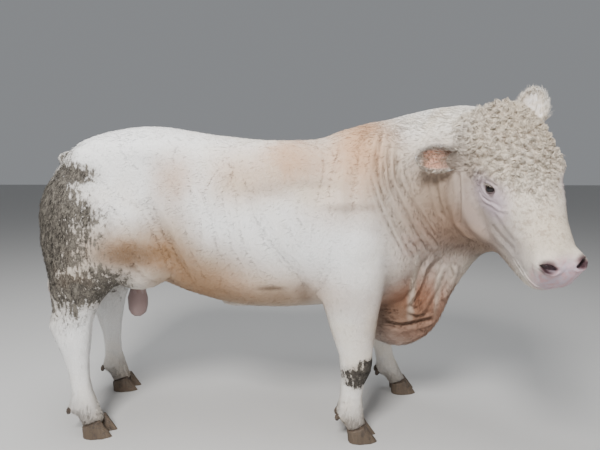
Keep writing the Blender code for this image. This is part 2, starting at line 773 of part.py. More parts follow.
def mouth_cutter():
    """A thin wedge along the line of the mouth, round the front from corner to corner."""
    half = smooth_rows(MOUTH, 14)
    line = [Vector((p[0], -p[1], p[2])) for p in reversed(half[1:])] + [Vector(p) for p in half]
    rings = []
    for k, point in enumerate(line):
        before = line[max(0, k - 1)]
        after = line[min(len(line) - 1, k + 1)]
        ahead = (after - before).normalized()
        out = ahead.cross(Vector((0, 0, 1))).normalized()
        if out.dot(Vector((point.x - 0.50, point.y, 0.0))) < 0:
            out = -out
        ends = min(k, len(line) - 1 - k)
        depth = 0.013 * min(1.0, 0.45 + 0.25 * ends)
        high = 0.0032
        inner = point - out * depth
        outer = point + out * 0.030
        rings.append([inner, outer + Vector((0, 0, high * 2.2)), outer - Vector((0, 0, high * 2.2))])
    return placed(loft("mouth_cutter", rings), head_matrix())


def curls(head):
    """Rounded clumps of curled hair set close over the poll and forehead, highest on the poll."""
    draw = random.Random(SEED)
    matrix = head_matrix()
    down = (matrix.to_3x3() @ Vector((0, 0, -1))).normalized()
    made = []
    for row, columns in enumerate(CURL_ROWS):
        x = -0.055 + CURL_SPACING * row
        for column in range(columns):
            y = (column - (columns - 1) / 2) * CURL_SPACING
            jitter = Vector((draw.uniform(-0.004, 0.004), draw.uniform(-0.003, 0.003), 0.20))
            hit, place, normal, _ = head.ray_cast(matrix @ (Vector((x, y, 0.0)) + jitter), down)
            if not hit:
                continue
            size = CURL_RADIUS * draw.uniform(0.9, 1.12)
            turn = normal.to_track_quat("Z", "Y").to_matrix().to_4x4()
            spin = Matrix.Rotation(draw.uniform(0, math.pi), 4, "Z")
            radii = (size * 1.05, size * 0.92, size * 0.62)
            made.append(clump(place + normal * size * 0.08, radii, turn @ spin))
    return made


def clump(centre, radii, turn):
    """One rounded clump of curled hair."""
    bm = bmesh.new()
    bmesh.ops.create_uvsphere(bm, u_segments=7, v_segments=4, radius=1.0)
    bm.transform(Matrix.Translation(centre) @ turn @ Matrix.Diagonal((*radii, 1.0)))
    return object_from_bmesh("curl", bm, "hair")


def lock(root, tip, bow, width, thick):
    """A flat, tapered lock of hair that bows out between its root and its tip."""
    ahead = (tip - root).normalized()
    side = ahead.cross(bow).normalized()
    face = side.cross(ahead).normalized()
    rings = []
    for share, size in ((0.0, 0.7), (0.25, 1.0), (0.55, 0.9), (0.82, 0.5), (1.0, 0.12)):
        middle = root.lerp(tip, share) + bow * math.sin(math.pi * share * 0.85)
        wide = side * (width * size)
        deep = face * (thick * size)
        rings.append([middle + wide, middle + deep, middle - wide, middle - deep])
    return loft("lock", rings, "hair")


def switch_locks(end):
    """The locks of the tail's switch, rooted round the end of the dock."""
    draw = random.Random(SEED + 1)
    locks = []
    for k in range(SWITCH_LOCKS):
        share = k / SWITCH_LOCKS
        angle = k * 2.39996
        out = Vector((math.cos(angle), math.sin(angle), 0.0))
        root = end + out * 0.005 + Vector((0, 0, 0.085 * (1 - share)))
        length = SWITCH_LENGTH * draw.uniform(0.72, 1.0) * (0.8 + 0.2 * share)
        tip = root + out * (0.008 + 0.012 * (1 - share)) + Vector((0.004, -0.006, -length))
        locks.append(lock(root, tip, out * (0.022 + 0.008 * (1 - share)), 0.0125, 0.0065))
    return locks


def tail():
    """The dock of the tail with its switch of long locks."""
    rings = []
    rows = smooth_rows(TAIL, 22)
    for k, row in enumerate(rows):
        before = Vector(rows[max(0, k - 1)][:3])
        after = Vector(rows[min(len(rows) - 1, k + 1)][:3])
        ahead = (after - before).normalized()
        side = ahead.cross(Vector((0, 1, 0))).normalized()
        rings.append(ring(Vector(row[:3]), Vector((0, 1, 0)), side, row[3], row[3], row[3], segments=12))
    dock = loft("tail", rings)
    locks = switch_locks(Vector(TAIL[-1][:3]))
    boolean(dock, "UNION", locks)
    remove(*locks)
    return keep_largest(dock)


def scrotum():
    """The hanging pouch between the hind legs."""
    rings = []
    for x, y, z, radius in smooth_rows(SCROTUM, 12):
        half = max(radius, 0.006)
        rings.append(ring(Vector((x, y, z)), AHEAD, LEFT, half * 0.92, half, half, segments=12))
    return loft("scrotum", rings, "skin")


def leg_region(name, low, high, side, swell):
    """A box round the upper end of a leg and all below it, on one side."""
    low, high = Vector(low), Vector(high)
    more = Vector((swell,) * 3)
    if side < 0:
        low, high = Vector((low.x, -high.y, low.z)), Vector((high.x, -low.y, high.z))
    return block(name, low - more, high + more)


def plane_region(name, point, normal, swell, reach=1.6):
    """The side of a plane that its normal points to, moved back by the swell."""
    return half_space(name, point - normal.normalized() * swell, normal.normalized(), reach)


def head_region(swell):
    """A block that holds all of the head from the cut at its nape on."""
    matrix = head_matrix()
    normal = (matrix.to_3x3() @ HEAD_CUT[1]).normalized()
    return plane_region("cut", matrix @ HEAD_CUT[0], normal, swell, HEAD_REACH + swell)


def flesh_nodes():
    """Fuses the flesh and parts it into torso, neck, head and legs."""
    pieces = [trunk(), neck(), dewlap(), *head_core(), *body_masses()]
    for name in STANCES:
        pieces += leg(name)
    whole = fuse("torso", pieces, FLESH_VOXEL, 22)
    fine = fuse("head", [neck(), dewlap(), *head_core()], HEAD_VOXEL, 22)

    # The head is cut roughly, thinned, and then cut again, so that its face stays flat.
    for spare in (0.03, 0.0):
        cutter = head_region(spare)
        boolean(fine, "INTERSECT", cutter)
        remove(cutter)
        decimate(keep_largest(fine), HEAD_TRIANGLES)
    decimate(whole, BODY_TRIANGLES)
    cutter = head_region(GAP)
    boolean(whole, "DIFFERENCE", cutter)
    remove(cutter)
    keep_largest(whole)
    point, normal = NECK_CUT
    nodes = {"head": fine}
    nodes["neck"] = part_off(
        whole, "neck", plane_region("a", point, normal, 0.0), plane_region("b", point, normal, GAP)
    )
    for name, stance in STANCES.items():
        low, high = FORE_BOX if stance[0] is FORE_LEG else HIND_BOX
        nodes[name] = part_off(
            whole,
            name,
            leg_region("a", low, high, stance[1], 0.0),
            leg_region("b", low, high, stance[1], GAP),
        )
    nodes["torso"] = whole
    return nodes


def feet(nodes):
    """Adds two claws and two dewclaws to each leg, set into the skin."""
    for name, stance in STANCES.items():
        table = stance[0]
        coronet = leg_middle(stance, table[-1])
        coronet.z = 0.0
        fetlock = leg_middle(stance, table[-3])
        horns = []
        for toe, word in ((-1, "right"), (1, "left")):
            horns.append(claw(f"claw_{name}_{word}", coronet, toe))
            horns.append(dewclaw(f"dewclaw_{name}_{word}", fetlock, toe))
        for horn in horns:
            cutter = grown(horn)
            boolean(nodes[name], "DIFFERENCE", cutter)
            remove(cutter)
        floor = block("floor", (-3, -3, -1), (3, 3, 0.012))
        boolean(nodes[name], "DIFFERENCE", floor)
        remove(floor)
        keep_largest(nodes[name])


def head_features(nodes):
    """Eyes, lids, ears, nostrils, mouth and curls of the head."""
    head = nodes["head"]
    added = curls(head) + [lid_rim(side) for side in (-1, 1)]
    boolean(head, "UNION", added)
    cutter = head_region(0.0)
    boolean(head, "INTERSECT", cutter)
    remove(cutter, *added)
    keep_largest(head)
    balls = [eyeball("eye_right", -1), eyeball("eye_left", 1)]
    cutters = [grown(ball) for ball in balls]
    cutters += [eye_opening(side) for side in (-1, 1)]
    cutters += [nostril_cutter(side) for side in (-1, 1)]
    cutters.append(mouth_cutter())
    for cutter in cutters:
        boolean(head, "DIFFERENCE", cutter)
    remove(*cutters)
    keep_largest(head)
    for name, pose in EARS.items():
        obj = ear(name, *pose)
        for parent in (head, nodes["neck"]):
            cutter = grown(parent)
            boolean(obj, "DIFFERENCE", cutter)
            remove(cutter)
        keep_largest(obj)


def hind_features(nodes):
    """The tail and the scrotum, each cut clear of what it hangs from."""
    for obj in (tail(), scrotum()):
        for parent in ("torso", "hindleg_right", "hindleg_left"):
            cutter = grown(nodes[parent])
            boolean(obj, "DIFFERENCE", cutter)
            remove(cutter)
        keep_largest(obj)


def centre_on_origin():
    """Moves every piece so that the origin is under the middle of the whole box."""
    shown = [obj for obj in bpy.data.objects if obj.type == "MESH"]
    corners = np.array([v.co for obj in shown for v in obj.data.vertices])
    middle = (corners.min(0) + corners.max(0)) / 2
    shift = Matrix.Translation((-middle[0], -middle[1], -corners[:, 2].min()))
    for obj in shown:
        obj.data.transform(shift)


def finish_shading():
    """Shades the flesh smooth, with sharp edges only at the cuts."""
    for obj in bpy.data.objects:
        obj.data.shade_smooth()
        obj.data.set_sharp_from_angle(angle=math.radians(50))


def main():
    """Builds the bull."""
    clear_scene()
    nodes = flesh_nodes()
    feet(nodes)
    head_features(nodes)
    hind_features(nodes)
    centre_on_origin()
    finish_shading()


if __name__ == "__main__":
    main()
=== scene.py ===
"""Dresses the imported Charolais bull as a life-size museum model.

One skin with its folds, lids, nostrils and mouth covers the flesh. Over it lie fine tufts of hair,
curls on the poll and a switch on the tail. Eyes, ears and hooves are pieces of their own.
"""

import logging
from dataclasses import dataclass
from enum import Enum
from functools import cache, cached_property, reduce
from math import ceil, cos, pi, radians, sin, sqrt
from typing import Any, Callable, Optional, Sequence, Union

import bmesh
import bpy
import numpy as np
from mathutils import Matrix, Vector
from mathutils.bvhtree import BVHTree
from numpy.linalg import norm


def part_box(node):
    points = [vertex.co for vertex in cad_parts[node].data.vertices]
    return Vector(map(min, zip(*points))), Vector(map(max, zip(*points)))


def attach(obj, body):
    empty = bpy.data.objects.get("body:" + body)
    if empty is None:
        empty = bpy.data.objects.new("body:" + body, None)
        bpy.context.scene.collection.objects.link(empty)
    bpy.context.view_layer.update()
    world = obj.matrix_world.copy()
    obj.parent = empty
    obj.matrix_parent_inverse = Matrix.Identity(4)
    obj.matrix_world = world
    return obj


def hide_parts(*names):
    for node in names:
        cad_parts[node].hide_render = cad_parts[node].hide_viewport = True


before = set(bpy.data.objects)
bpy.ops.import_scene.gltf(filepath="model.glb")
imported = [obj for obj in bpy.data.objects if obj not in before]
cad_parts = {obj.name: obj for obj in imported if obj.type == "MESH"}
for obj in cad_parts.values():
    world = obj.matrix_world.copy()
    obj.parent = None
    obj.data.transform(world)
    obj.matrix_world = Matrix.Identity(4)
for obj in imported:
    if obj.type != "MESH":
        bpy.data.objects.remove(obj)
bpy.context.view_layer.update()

LOG = logging.getLogger("bull")
BODY = "root"
SEED = 11
COAT_MAP = "OFBake"
COAT_PATCH = 0.003
LARGEST_PIECE = 190000
MERGE = 1e-5
TINY = 1e-12

Point = tuple[float, float, float]
Piece = bpy.types.Object
Finish = bpy.types.Material
Rows = np.ndarray
Placer = Callable[[Sequence[float]], Vector]


class Side(Enum):
    """The bull's own right and left."""

    RIGHT = -1
    LEFT = 1


LEGS = ("foreleg_right", "foreleg_left", "hindleg_right", "hindleg_left")
# The nodes that one skin takes the place of. Each triangle of the skin keeps the number of its node.
FLESH = ("head", "neck", "torso", *LEGS, "scrotum")
PART_NUMBER = {name: number for number, name in enumerate((*FLESH, "tail"))}

# The head's own axes, as the solids place them: x runs from the poll to the muzzle, z out of the forehead.
POLL = Vector((1.05, -0.48, 1.412))
HEAD_TURNS = ((-73, "Z"), (53, "Y"), (14, "X"))
HEAD_SCALE = 0.605 / 0.6
EYE = Vector((0.24, 0.118, -0.049))
EYE_RADIUS = 0.021
# The middle of the bare skin round the left eye.
LIDS = (0.247, 0.13, -0.045)
# The neck's path in plan, and the dock of the tail: x, y, z, radius.
NECK_PATH = ((0.5, 0.0), (0.82, 0.02), (1.04, -0.17), (1.05, -0.5))
DOCK = (
    (-0.77, 0.0, 1.285, 0.05),
    (-0.85, -0.006, 1.262, 0.038),
    (-0.886, -0.016, 1.2, 0.03),
    (-0.908, -0.034, 1.08, 0.025),
    (-0.916, -0.052, 0.95, 0.021),
    (-0.914, -0.07, 0.84, 0.018),
    (-0.908, -0.082, 0.76, 0.014),
    (-0.904, -0.088, 0.715, 0.008),
)
DOCK_RINGS, DOCK_SIDES = 40, 14


def placed(place: Sequence[float], turns: Sequence[tuple[float, str]]) -> Matrix:
    """Axes at a place, then turned by so many degrees round some of their own axes.

    Args:
        place: their origin.
        turns: each angle with the axis that it turns round.

    Returns:
        The axes.
    """
    axes = Matrix.Translation(place)
    for angle, axis in turns:
        axes = axes @ Matrix.Rotation(radians(angle), 4, axis)
    return axes


def box_middle(node: str) -> Vector:
    """The middle of a CAD node's box, in metres."""
    low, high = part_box(node)
    return (low + high) / 2


# The drawing's coordinates plus SHIFT are the frame's.
DRAWN_HEAD = placed(POLL, HEAD_TURNS) @ Matrix.Scale(HEAD_SCALE, 4)
SHIFT = box_middle("eye_right") - DRAWN_HEAD @ Vector((EYE.x, -EYE.y, EYE.z))
SHIFT.z = 0.0
HEAD = Matrix.Translation(SHIFT) @ DRAWN_HEAD
HEAD_INVERSE = HEAD.inverted()


def drawn(point: Sequence[float]) -> Vector:
    """A point of the drawing, moved to the frame."""
    return Vector(point) + SHIFT


def on_head(point: Sequence[float], side: Side = Side.LEFT) -> Vector:
    """A point of the head's own axes, given on its left side, moved to the frame."""
    return HEAD @ Vector((point[0], side.value * point[1], point[2]))


# Meshes


def deselect() -> None:
    """Deselects everything, so that an operator acts on one piece only."""
    for other in bpy.context.selected_objects:
        other.select_set(False)


def pick(obj: Piece) -> None:
    """Makes one object the only selected and active one.

    Args:
        obj: the piece.
    """
    deselect()
    obj.select_set(True)
    bpy.context.view_layer.objects.active = obj


def link(name: str, data: Any) -> Piece:
    """Puts an object in the scene, at the origin.

    Args:
        name: the object's name.
        data: its mesh, lamp or camera.

    Returns:
        The object.
    """
    obj = bpy.data.objects.new(name, data)
    bpy.context.scene.collection.objects.link(obj)
    return obj


def link_mesh(name: str, mesh: bmesh.types.BMesh) -> Piece:
    """Turns an edited mesh into an object of that name, and frees it.

    Args:
        name: the object's name.
        mesh: the edited mesh.

    Returns:
        The object.
    """
    data = bpy.data.meshes.new(name)
    mesh.to_mesh(data)
    mesh.free()
    return link(name, data)


def edit_whole(operator: Callable[..., Any], **settings: Any) -> None:
    """Runs an edit-mode operator on all of the active piece.

    Args:
        operator: the operator.
        settings: its properties.
    """
    bpy.ops.object.mode_set(mode="EDIT")
    bpy.ops.mesh.select_all(action="SELECT")
    operator(**settings)
    bpy.ops.object.mode_set(mode="OBJECT")


def dress(obj: Piece, slot: str, material: Finish, *nodes: str) -> None:
    """Gives a piece its finish and lets it ride on the body.

    Args:
        obj: the piece.
        slot: a material slot's name, not used.
        material: its finish.
        nodes: the CAD nodes that it takes the place of.
    """
    obj.data.materials.append(material)
    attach(obj, BODY)
    if nodes:
        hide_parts(*nodes)


def round_off(obj: Piece) -> None:
    """Shades a piece smooth."""
    obj.data.polygons.foreach_set("use_smooth", np.ones(len(obj.data.polygons), bool))


def tree_of(obj: Piece) -> BVHTree:
    """A piece's surface, for finding the nearest places on it."""
    return BVHTree.FromObject(obj, bpy.context.evaluated_depsgraph_get())


def mark_points(obj: Piece, **marks: Rows) -> None:
    """Keeps numbers for the vertices in attributes, which a finish reads.

    Args:
        obj: the piece.
        marks: for each attribute a number for each vertex.
    """
    for name, values in marks.items():
        layer = obj.data.attributes.new(name, "FLOAT", "POINT")
        layer.data.foreach_set("value", values.astype(np.float32))


def apply(obj: Piece, kind: str, **settings: Any) -> None:
    """Adds a modifier with its settings and applies it.

    Args:
        obj: the piece.
        kind: the modifier's type.
        settings: its properties.
    """
    pick(obj)
    modifier = obj.modifiers.new(kind.lower(), kind)
    for key, value in settings.items():
        setattr(modifier, key, value)
    bpy.ops.object.modifier_apply(modifier=modifier.name)


def rows_of(items: Any, field: str, width: int = 3) -> Rows:
    """A field of many parts of a mesh.

    Args:
        items: the parts.
        field: the field's name.
        width: how many numbers it has.

    Returns:
        A row for each part.
    """
    flat = np.empty(len(items) * width, np.float32)
    items.foreach_get(field, flat)
    return flat.reshape(-1, width).astype(float)


def points_of(obj: Piece) -> Rows:
    """The vertices of a piece as rows of x, y, z."""
    return rows_of(obj.data.vertices, "co")


def normals_of(obj: Piece) -> Rows:
    """The vertex normals of a piece as rows of x, y, z."""
    return rows_of(obj.data.vertex_normals, "vector")


def move_points(obj: Piece, points: Rows) -> None:
    """Writes rows of x, y, z back to a piece's vertices."""
    obj.data.vertices.foreach_set("co", points.astype(np.float32).ravel())
    obj.data.update()


def carry(points: Rows, matrix: Matrix) -> Rows:
    """Rows of x, y, z, moved by a matrix."""
    turn = np.array(matrix)
    return points @ turn[:3, :3].T + turn[:3, 3]


def in_head(points: Rows) -> Rows:
    """Points of the frame in the head's own axes."""
    return carry(points, HEAD_INVERSE)


def folded(head: Rows) -> Rows:
    """Places in the head's own axes, those on its right side mirrored to its left."""
    return np.stack([head[:, 0], np.abs(head[:, 1]), head[:, 2]], 1)


def unit(rows: Rows) -> Rows:
    """Vectors along the last axis, each made one long."""
    return rows / (norm(rows, axis=-1, keepdims=True) + TINY)


def oval(points: Rows, middle: Point, reach: Point) -> Rows:
    """How far rows of x, y, z lie from a middle, where an egg of that reach is 1."""
    return norm((points - np.array(middle)) / reach, axis=1)


def weigh(obj: Piece, name: str, weights: Rows) -> None:
    """Gives a piece a vertex group with a weight for each vertex.

    Args:
        obj: the piece.
        name: the group's name.
        weights: a weight from 0 to 1 for each vertex, kept in steps of a tenth.
    """
    group = obj.vertex_groups.new(name=name)
    steps = np.round(weights * 10).astype(int)
    for tenth in range(1, 11):
        chosen = np.nonzero(steps == tenth)[0]
        if len(chosen):
            group.add(chosen.tolist(), tenth / 10, "REPLACE")


def unfold(obj: Piece) -> None:
    """Lays a skin flat in a UV map, whose places its tufts take over.

    Args:
        obj: the skin.
    """
    pick(obj)
    obj.data.uv_layers.new(name=COAT_MAP)
    edit_whole(bpy.ops.uv.smart_project, angle_limit=radians(72), island_margin=0.002)


def soften(name: str, node: str, voxel: float, rounds: int) -> Piece:
    """A finer, smoother copy of a CAD node, cut into triangles.

    Args:
        name: the copy's name.
        node: the node.
        voxel: its new mesh size.
        rounds: how often it is smoothed.

    Returns:
        The copy.
    """
    obj = link(name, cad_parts[node].data.copy())
    obj.data.materials.clear()
    apply(obj, "WELD", merge_threshold=MERGE)
    apply(obj, "REMESH", mode="VOXEL", voxel_size=voxel, use_smooth_shade=True)
    apply(obj, "SMOOTH", factor=0.5, iterations=rounds)
    apply(obj, "TRIANGULATE")
    return obj


def smooth_path(points: Sequence[Vector], count: int) -> Rows:
    """A smooth curve through points.

    Args:
        points: the points that it passes.
        count: how many points it gets.

    Returns:
        The curve's points as rows.
    """
    rows = np.array([tuple(p) for p in points], float)
    rows = np.vstack([2 * rows[0] - rows[1], rows, 2 * rows[-1] - rows[-2]])
    out = []
    for value in np.linspace(0, len(rows) - 3 - 1e-9, count):
        k = int(value)
        t = value - k
        a, b, c, d = rows[k : k + 4]
        bend = (2 * a - 5 * b + 4 * c - d) * t**2 + (3 * b - a - 3 * c + d) * t**3
        out.append(b + 0.5 * ((c - a) * t + bend))
    return np.array(out)


def bell(distance: Rows, width: float) -> Rows:
    """A smooth hump that is 1 at no distance and dies away past a width."""
    return np.exp(-((distance / width) ** 2))


def step(values: Rows, low: float, high: float) -> Rows:
    """0 below low, 1 above high and smooth between, also with low above high."""
    share = np.clip((values - low) / (high - low), 0, 1)
    return share * share * (3 - 2 * share)


# Shader kit


class Wire:
    """A value or colour on its way through a node tree, with arithmetic on it."""

    def __init__(self, dye: "Dye", socket: bpy.types.NodeSocket) -> None:
        """Wraps a node's output socket of that tree."""
        self.dye = dye
        self.socket = socket

    def __add__(self, other: "Value") -> "Wire":
        """self + other."""
        return self.dye.maths("ADD", self, other)

    __radd__ = __add__

    def __sub__(self, other: "Value") -> "Wire":
        """self - other."""
        return self.dye.maths("SUBTRACT", self, other)

    def __rsub__(self, other: "Value") -> "Wire":
        """other - self."""
        return self.dye.maths("SUBTRACT", other, self)

    def __mul__(self, other: "Value") -> "Wire":
        """self * other."""
        return self.dye.maths("MULTIPLY", self, other)

    __rmul__ = __mul__

    def step(self, low: float, high: float) -> "Wire":
        """0 below low, 1 above high and smooth between."""
        inputs = {"Value": self, "From Min": low, "From Max": high}
        return self.dye.node("ShaderNodeMapRange", {"interpolation_type": "SMOOTHSTEP"}, inputs)

    def limit(self) -> "Wire":
        """The value kept between 0 and 1."""
        return self.dye.node("ShaderNodeMath", {"operation": "ADD", "use_clamp": True}, {0: self, 1: 0.0})


Value = Union[Wire, float]
Key = Union[int, str]
Inputs = dict[Key, Any]
Colour = tuple[float, float, float]


class Dye:
    """One material's node tree, written as Python expressions."""

    def __init__(self, name: str) -> None:
        """Starts a material with a Principled shader.

        Args:
            name: the material's name.
        """
        self.material = bpy.data.materials.new(name)
        self.material.use_nodes = True
        self.tree = self.material.node_tree
        self.shader = self.tree.nodes["Principled BSDF"]

    def feed(self, socket: bpy.types.NodeSocket, value: Any) -> None:
        """Links a wire to a socket, or sets the socket's own value.

        Args:
            socket: the input.
            value: a wire, a number, a colour or a vector.
        """
        if isinstance(value, Wire):
            self.tree.links.new(value.socket, socket)
        elif socket.type == "RGBA" and len(value) == 3:
            socket.default_value = (*value, 1.0)
        else:
            socket.default_value = value

    def node(
        self, kind: str, settings: Optional[Inputs] = None, inputs: Optional[Inputs] = None, output: Key = 0
    ) -> Wire:
        """Adds a node.

        Args:
            kind: the node's type.
            settings: its properties.
            inputs: values or wires for its sockets.
            output: the socket that is wanted.

        Returns:
            The wire from that socket.
        """
        made = self.tree.nodes.new(kind)
        for key, value in (settings or {}).items():
            setattr(made, key, value)
        for key, value in (inputs or {}).items():
            self.feed(made.inputs[key], value)
        return Wire(self, made.outputs[output])

    def maths(self, operation: str, first: Value, second: Value) -> Wire:
        """A Math node on two values."""
        return self.node("ShaderNodeMath", {"operation": operation}, {0: first, 1: second})

    def most(self, *values: Wire) -> Wire:
        """The largest of several values."""
        return reduce(lambda first, second: self.maths("MAXIMUM", first, second), values)

    def vector(self, operation: str, first: Any, second: Any) -> Wire:
        """A Vector Math node on two vectors."""
        return self.node("ShaderNodeVectorMath", {"operation": operation}, {0: first, 1: second})

    def mix(self, share: Value, first: Any, second: Any) -> Wire:
        """A blend of two colours, the second by share."""
        return self.node("ShaderNodeMix", {"data_type": "RGBA"}, {0: share, 6: first, 7: second}, 2)

    def blend(self, share: Value, first: Value, second: Value) -> Wire:
        """A blend of two numbers, the second by share."""
        return self.node("ShaderNodeMix", {"data_type": "FLOAT"}, {0: share, 2: first, 3: second}, 0)

    @cached_property
    def place(self) -> Wire:
        """The surface's place in the frame."""
        return self.node("ShaderNodeTexCoord", output="Object")

    @cached_property
    def head_place(self) -> Wire:
        """The surface's place in the head's own axes."""
        place, turn = HEAD_INVERSE.to_translation(), HEAD_INVERSE.to_euler()
        return self.stretched((1 / HEAD_SCALE,) * 3, Location=place, Rotation=turn)

    def height(self) -> Wire:
        """How high the surface is above the ground."""
        return self.node("ShaderNodeSeparateXYZ", {}, {0: self.place}, "Z")

    def stretched(self, scale: Point, **more: Any) -> Wire:
        """The surface's place, scaled along the frame's axes, and by more moved and turned."""
        return self.node("ShaderNodeMapping", {}, {"Vector": self.place, "Scale": scale, **more})

    def mark(self, name: str) -> Wire:
        """What an attribute of the piece says."""
        return self.node("ShaderNodeAttribute", {"attribute_name": name}, {}, "Fac")

    def noise(self, place: Wire, scale: float, detail: float = 2.0, rough: float = 0.5) -> Wire:
        """Soft noise from 0 to 1."""
        inputs = {"Vector": place, "Scale": scale, "Detail": detail, "Roughness": rough}
        return self.node("ShaderNodeTexNoise", {}, inputs)

    def patch(
        self, place: Wire, middle: Sequence[float], reach: Sequence[float], edge: float, ragged: Value
    ) -> Wire:
        """A soft-edged egg-shaped patch.

        Args:
            place: the surface's place.
            middle: the patch's middle.
            reach: how far it reaches each way.
            edge: how soft its edge is, as a share of its reach.
            ragged: what is added to the distance, to fray the edge.

        Returns:
            1 in the patch and 0 outside.
        """
        offset = self.vector("DIVIDE", self.vector("SUBTRACT", place, middle), reach)
        distance = self.node("ShaderNodeVectorMath", {"operation": "LENGTH"}, {0: offset}, "Value")
        return 1 - (distance + ragged).step(1 - edge, 1 + edge)

    def bump(self, height: Wire, distance: float, strength: float = 1.0) -> None:
        """Feeds a height to the shader's Normal through a Bump node."""
        inputs = {"Height": height, "Distance": distance, "Strength": strength}
        self.feed(self.shader.inputs["Normal"], self.node("ShaderNodeBump", {}, inputs))

    def finish(self, **values: Any) -> Finish:
        """Sets the shader's sockets by name, with _ for a space.

        Args:
            values: for each socket a wire, a number or a colour.

        Returns:
            The material.
        """
        for key, value in values.items():
            self.feed(self.shader.inputs[key.replace("_", " ")], value)
        return self.material


# Colours and finishes


@dataclass(frozen=True)
class CoatColours:
    """The colours of the hair and of what has soiled it, and of bare skin; some are also laid as painted
    highlight and painted shade.
    """

    white: Colour = (0.8, 0.805, 0.805)
    cream: Colour = (0.7, 0.63, 0.53)
    straw: Colour = (0.55, 0.45, 0.32)
    apricot: Colour = (0.5, 0.29, 0.16)
    fawn: Colour = (0.265, 0.185, 0.13)
    ochre: Colour = (0.265, 0.13, 0.04)
    rust: Colour = (0.235, 0.092, 0.042)
    umber: Colour = (0.09, 0.05, 0.027)
    dung: Colour = (0.028, 0.025, 0.021)
    dung_dry: Colour = (0.13, 0.118, 0.098)
    dung_wet: Colour = (0.008, 0.007, 0.006)
    smear: Colour = (0.23, 0.2, 0.165)
    lilac: Colour = (0.52, 0.43, 0.49)
    haze: Colour = (0.46, 0.43, 0.43)
    rose: Colour = (0.54, 0.34, 0.36)
    mauve: Colour = (0.33, 0.21, 0.2)
    pit: Colour = (0.05, 0.024, 0.03)
    lid_rim: Colour = (0.085, 0.058, 0.056)
    lit: Colour = (0.88, 0.87, 0.85)
    shaded: Colour = (0.24, 0.19, 0.15)
    parting: Colour = (0.3, 0.26, 0.22)


@dataclass(frozen=True)
class Mark:
    """A soft patch of one colour on the coat.

    Args:
        colour: the name of a colour of CoatColours.
        middle: its middle, in the drawing's coordinates or the head's.
        reach: how far it reaches each way.
        edge: how soft its edge is.
        ragged: how far noise frays its edge.
        share: how strong it is.
    """

    colour: str
    middle: Point
    reach: Point
    edge: float = 0.5
    ragged: float = 0.3
    share: float = 1.0


BODY_MARKS = (
    # The first five white patches, on the rump top, hind legs, ribs, shoulder and flank, are painted
    # highlight: the coat's own cool white, laid clean where the light falls brightest.
    Mark("white", (-0.55, 0.0, 1.3), (0.45, 0.6, 0.22), 0.5, 0.2, 0.9),
    Mark("white", (-0.6, 0.0, 0.45), (0.4, 0.6, 0.22), 0.5, 0.2, 0.9),
    Mark("white", (0.1, 0.0, 0.97), (0.34, 0.6, 0.17), 0.5, 0.4, 0.95),
    Mark("white", (0.45, 0.0, 0.86), (0.22, 0.6, 0.24), 0.5, 0.3, 0.8),
    Mark("white", (-0.22, 0.0, 1.12), (0.18, 0.6, 0.16), 0.5, 0.3, 0.85),
    Mark("apricot", (0.55, 0.0, 1.32), (0.15, 0.6, 0.2), 0.6, 0.5, 0.95),
    Mark("apricot", (0.4, 0.0, 1.22), (0.2, 0.6, 0.14), 0.7, 0.6, 0.55),
    Mark("apricot", (0.24, 0.0, 1.28), (0.12, 0.6, 0.1), 0.7, 0.7, 0.8),
    Mark("apricot", (0.04, 0.0, 1.2), (0.2, 0.6, 0.11), 0.8, 0.8, 0.66),
    Mark("apricot", (-0.27, 0.0, 1.2), (0.09, 0.6, 0.1), 0.8, 0.6, 0.62),
    Mark("apricot", (0.46, 0.0, 1.06), (0.16, 0.6, 0.07), 0.9, 0.8, 0.35),
    Mark("ochre", (-0.28, 0.0, 0.93), (0.105, 0.6, 0.17), 0.85, 0.5, 0.72),
    Mark("ochre", (-0.19, 0.0, 0.75), (0.21, 0.6, 0.13), 0.8, 0.4, 0.84),
    Mark("ochre", (-0.08, 0.0, 0.82), (0.19, 0.6, 0.1), 0.9, 0.6, 0.52),
    Mark("ochre", (-0.48, 0.0, 0.88), (0.22, 0.6, 0.095), 0.85, 0.6, 1.0),
    Mark("ochre", (0.08, 0.0, 0.665), (0.38, 0.6, 0.09), 0.75, 0.4, 0.75),
    Mark("apricot", (0.08, 0.0, 0.73), (0.38, 0.6, 0.09), 0.8, 0.4, 0.4),
    Mark("umber", (-0.49, 0.0, 0.868), (0.12, 0.6, 0.045), 0.8, 0.8, 0.72),
    Mark("umber", (0.15, -0.3, 0.722), (0.055, 0.2, 0.012), 0.8, 0.8, 0.75),
    Mark("umber", (0.47, 0.0, 1.075), (0.1, 0.6, 0.018), 0.9, 1.0, 0.46),
    Mark("umber", (0.33, 0.0, 1.175), (0.13, 0.6, 0.022), 0.9, 1.0, 0.34),
    Mark("fawn", (0.12, 0.0, 1.15), (0.16, 0.6, 0.03), 0.9, 1.0, 0.4),
    Mark("umber", (0.3, -0.2, 0.69), (0.03, 0.1, 0.06), 0.8, 0.9, 0.45),
    # The two fawn patches on the neck are partly its real soiling and partly painted shade, darkening the
    # neck where it lies in shade between head and shoulder.
    Mark("fawn", (0.7, -0.3, 1.06), (0.11, 0.24, 0.27), 0.8, 0.6, 0.46),
    Mark("fawn", (0.86, -0.44, 1.1), (0.15, 0.26, 0.22), 0.7, 0.6, 0.76),
    Mark("rust", (0.84, -0.05, 0.58), (0.28, 0.36, 0.27), 0.6, 0.4, 0.88),
    Mark("rust", (0.78, -0.15, 0.63), (0.11, 0.3, 0.09), 0.7, 0.5, 0.7),
    Mark("umber", (0.73, -0.05, 0.54), (0.15, 0.34, 0.075), 0.7, 0.5, 0.62),
    Mark("rust", (0.9, -0.46, 0.98), (0.2, 0.24, 0.15), 0.8, 0.5, 0.66),
    Mark("umber", (0.96, -0.44, 0.86), (0.14, 0.22, 0.1), 0.8, 0.5, 0.6),
    Mark("cream", (0.79, -0.2, 0.7), (0.014, 0.14, 0.13), 0.9, 0.3, 0.5),
    Mark("cream", (0.9, -0.24, 0.7), (0.012, 0.1, 0.11), 0.9, 0.3, 0.4),
)
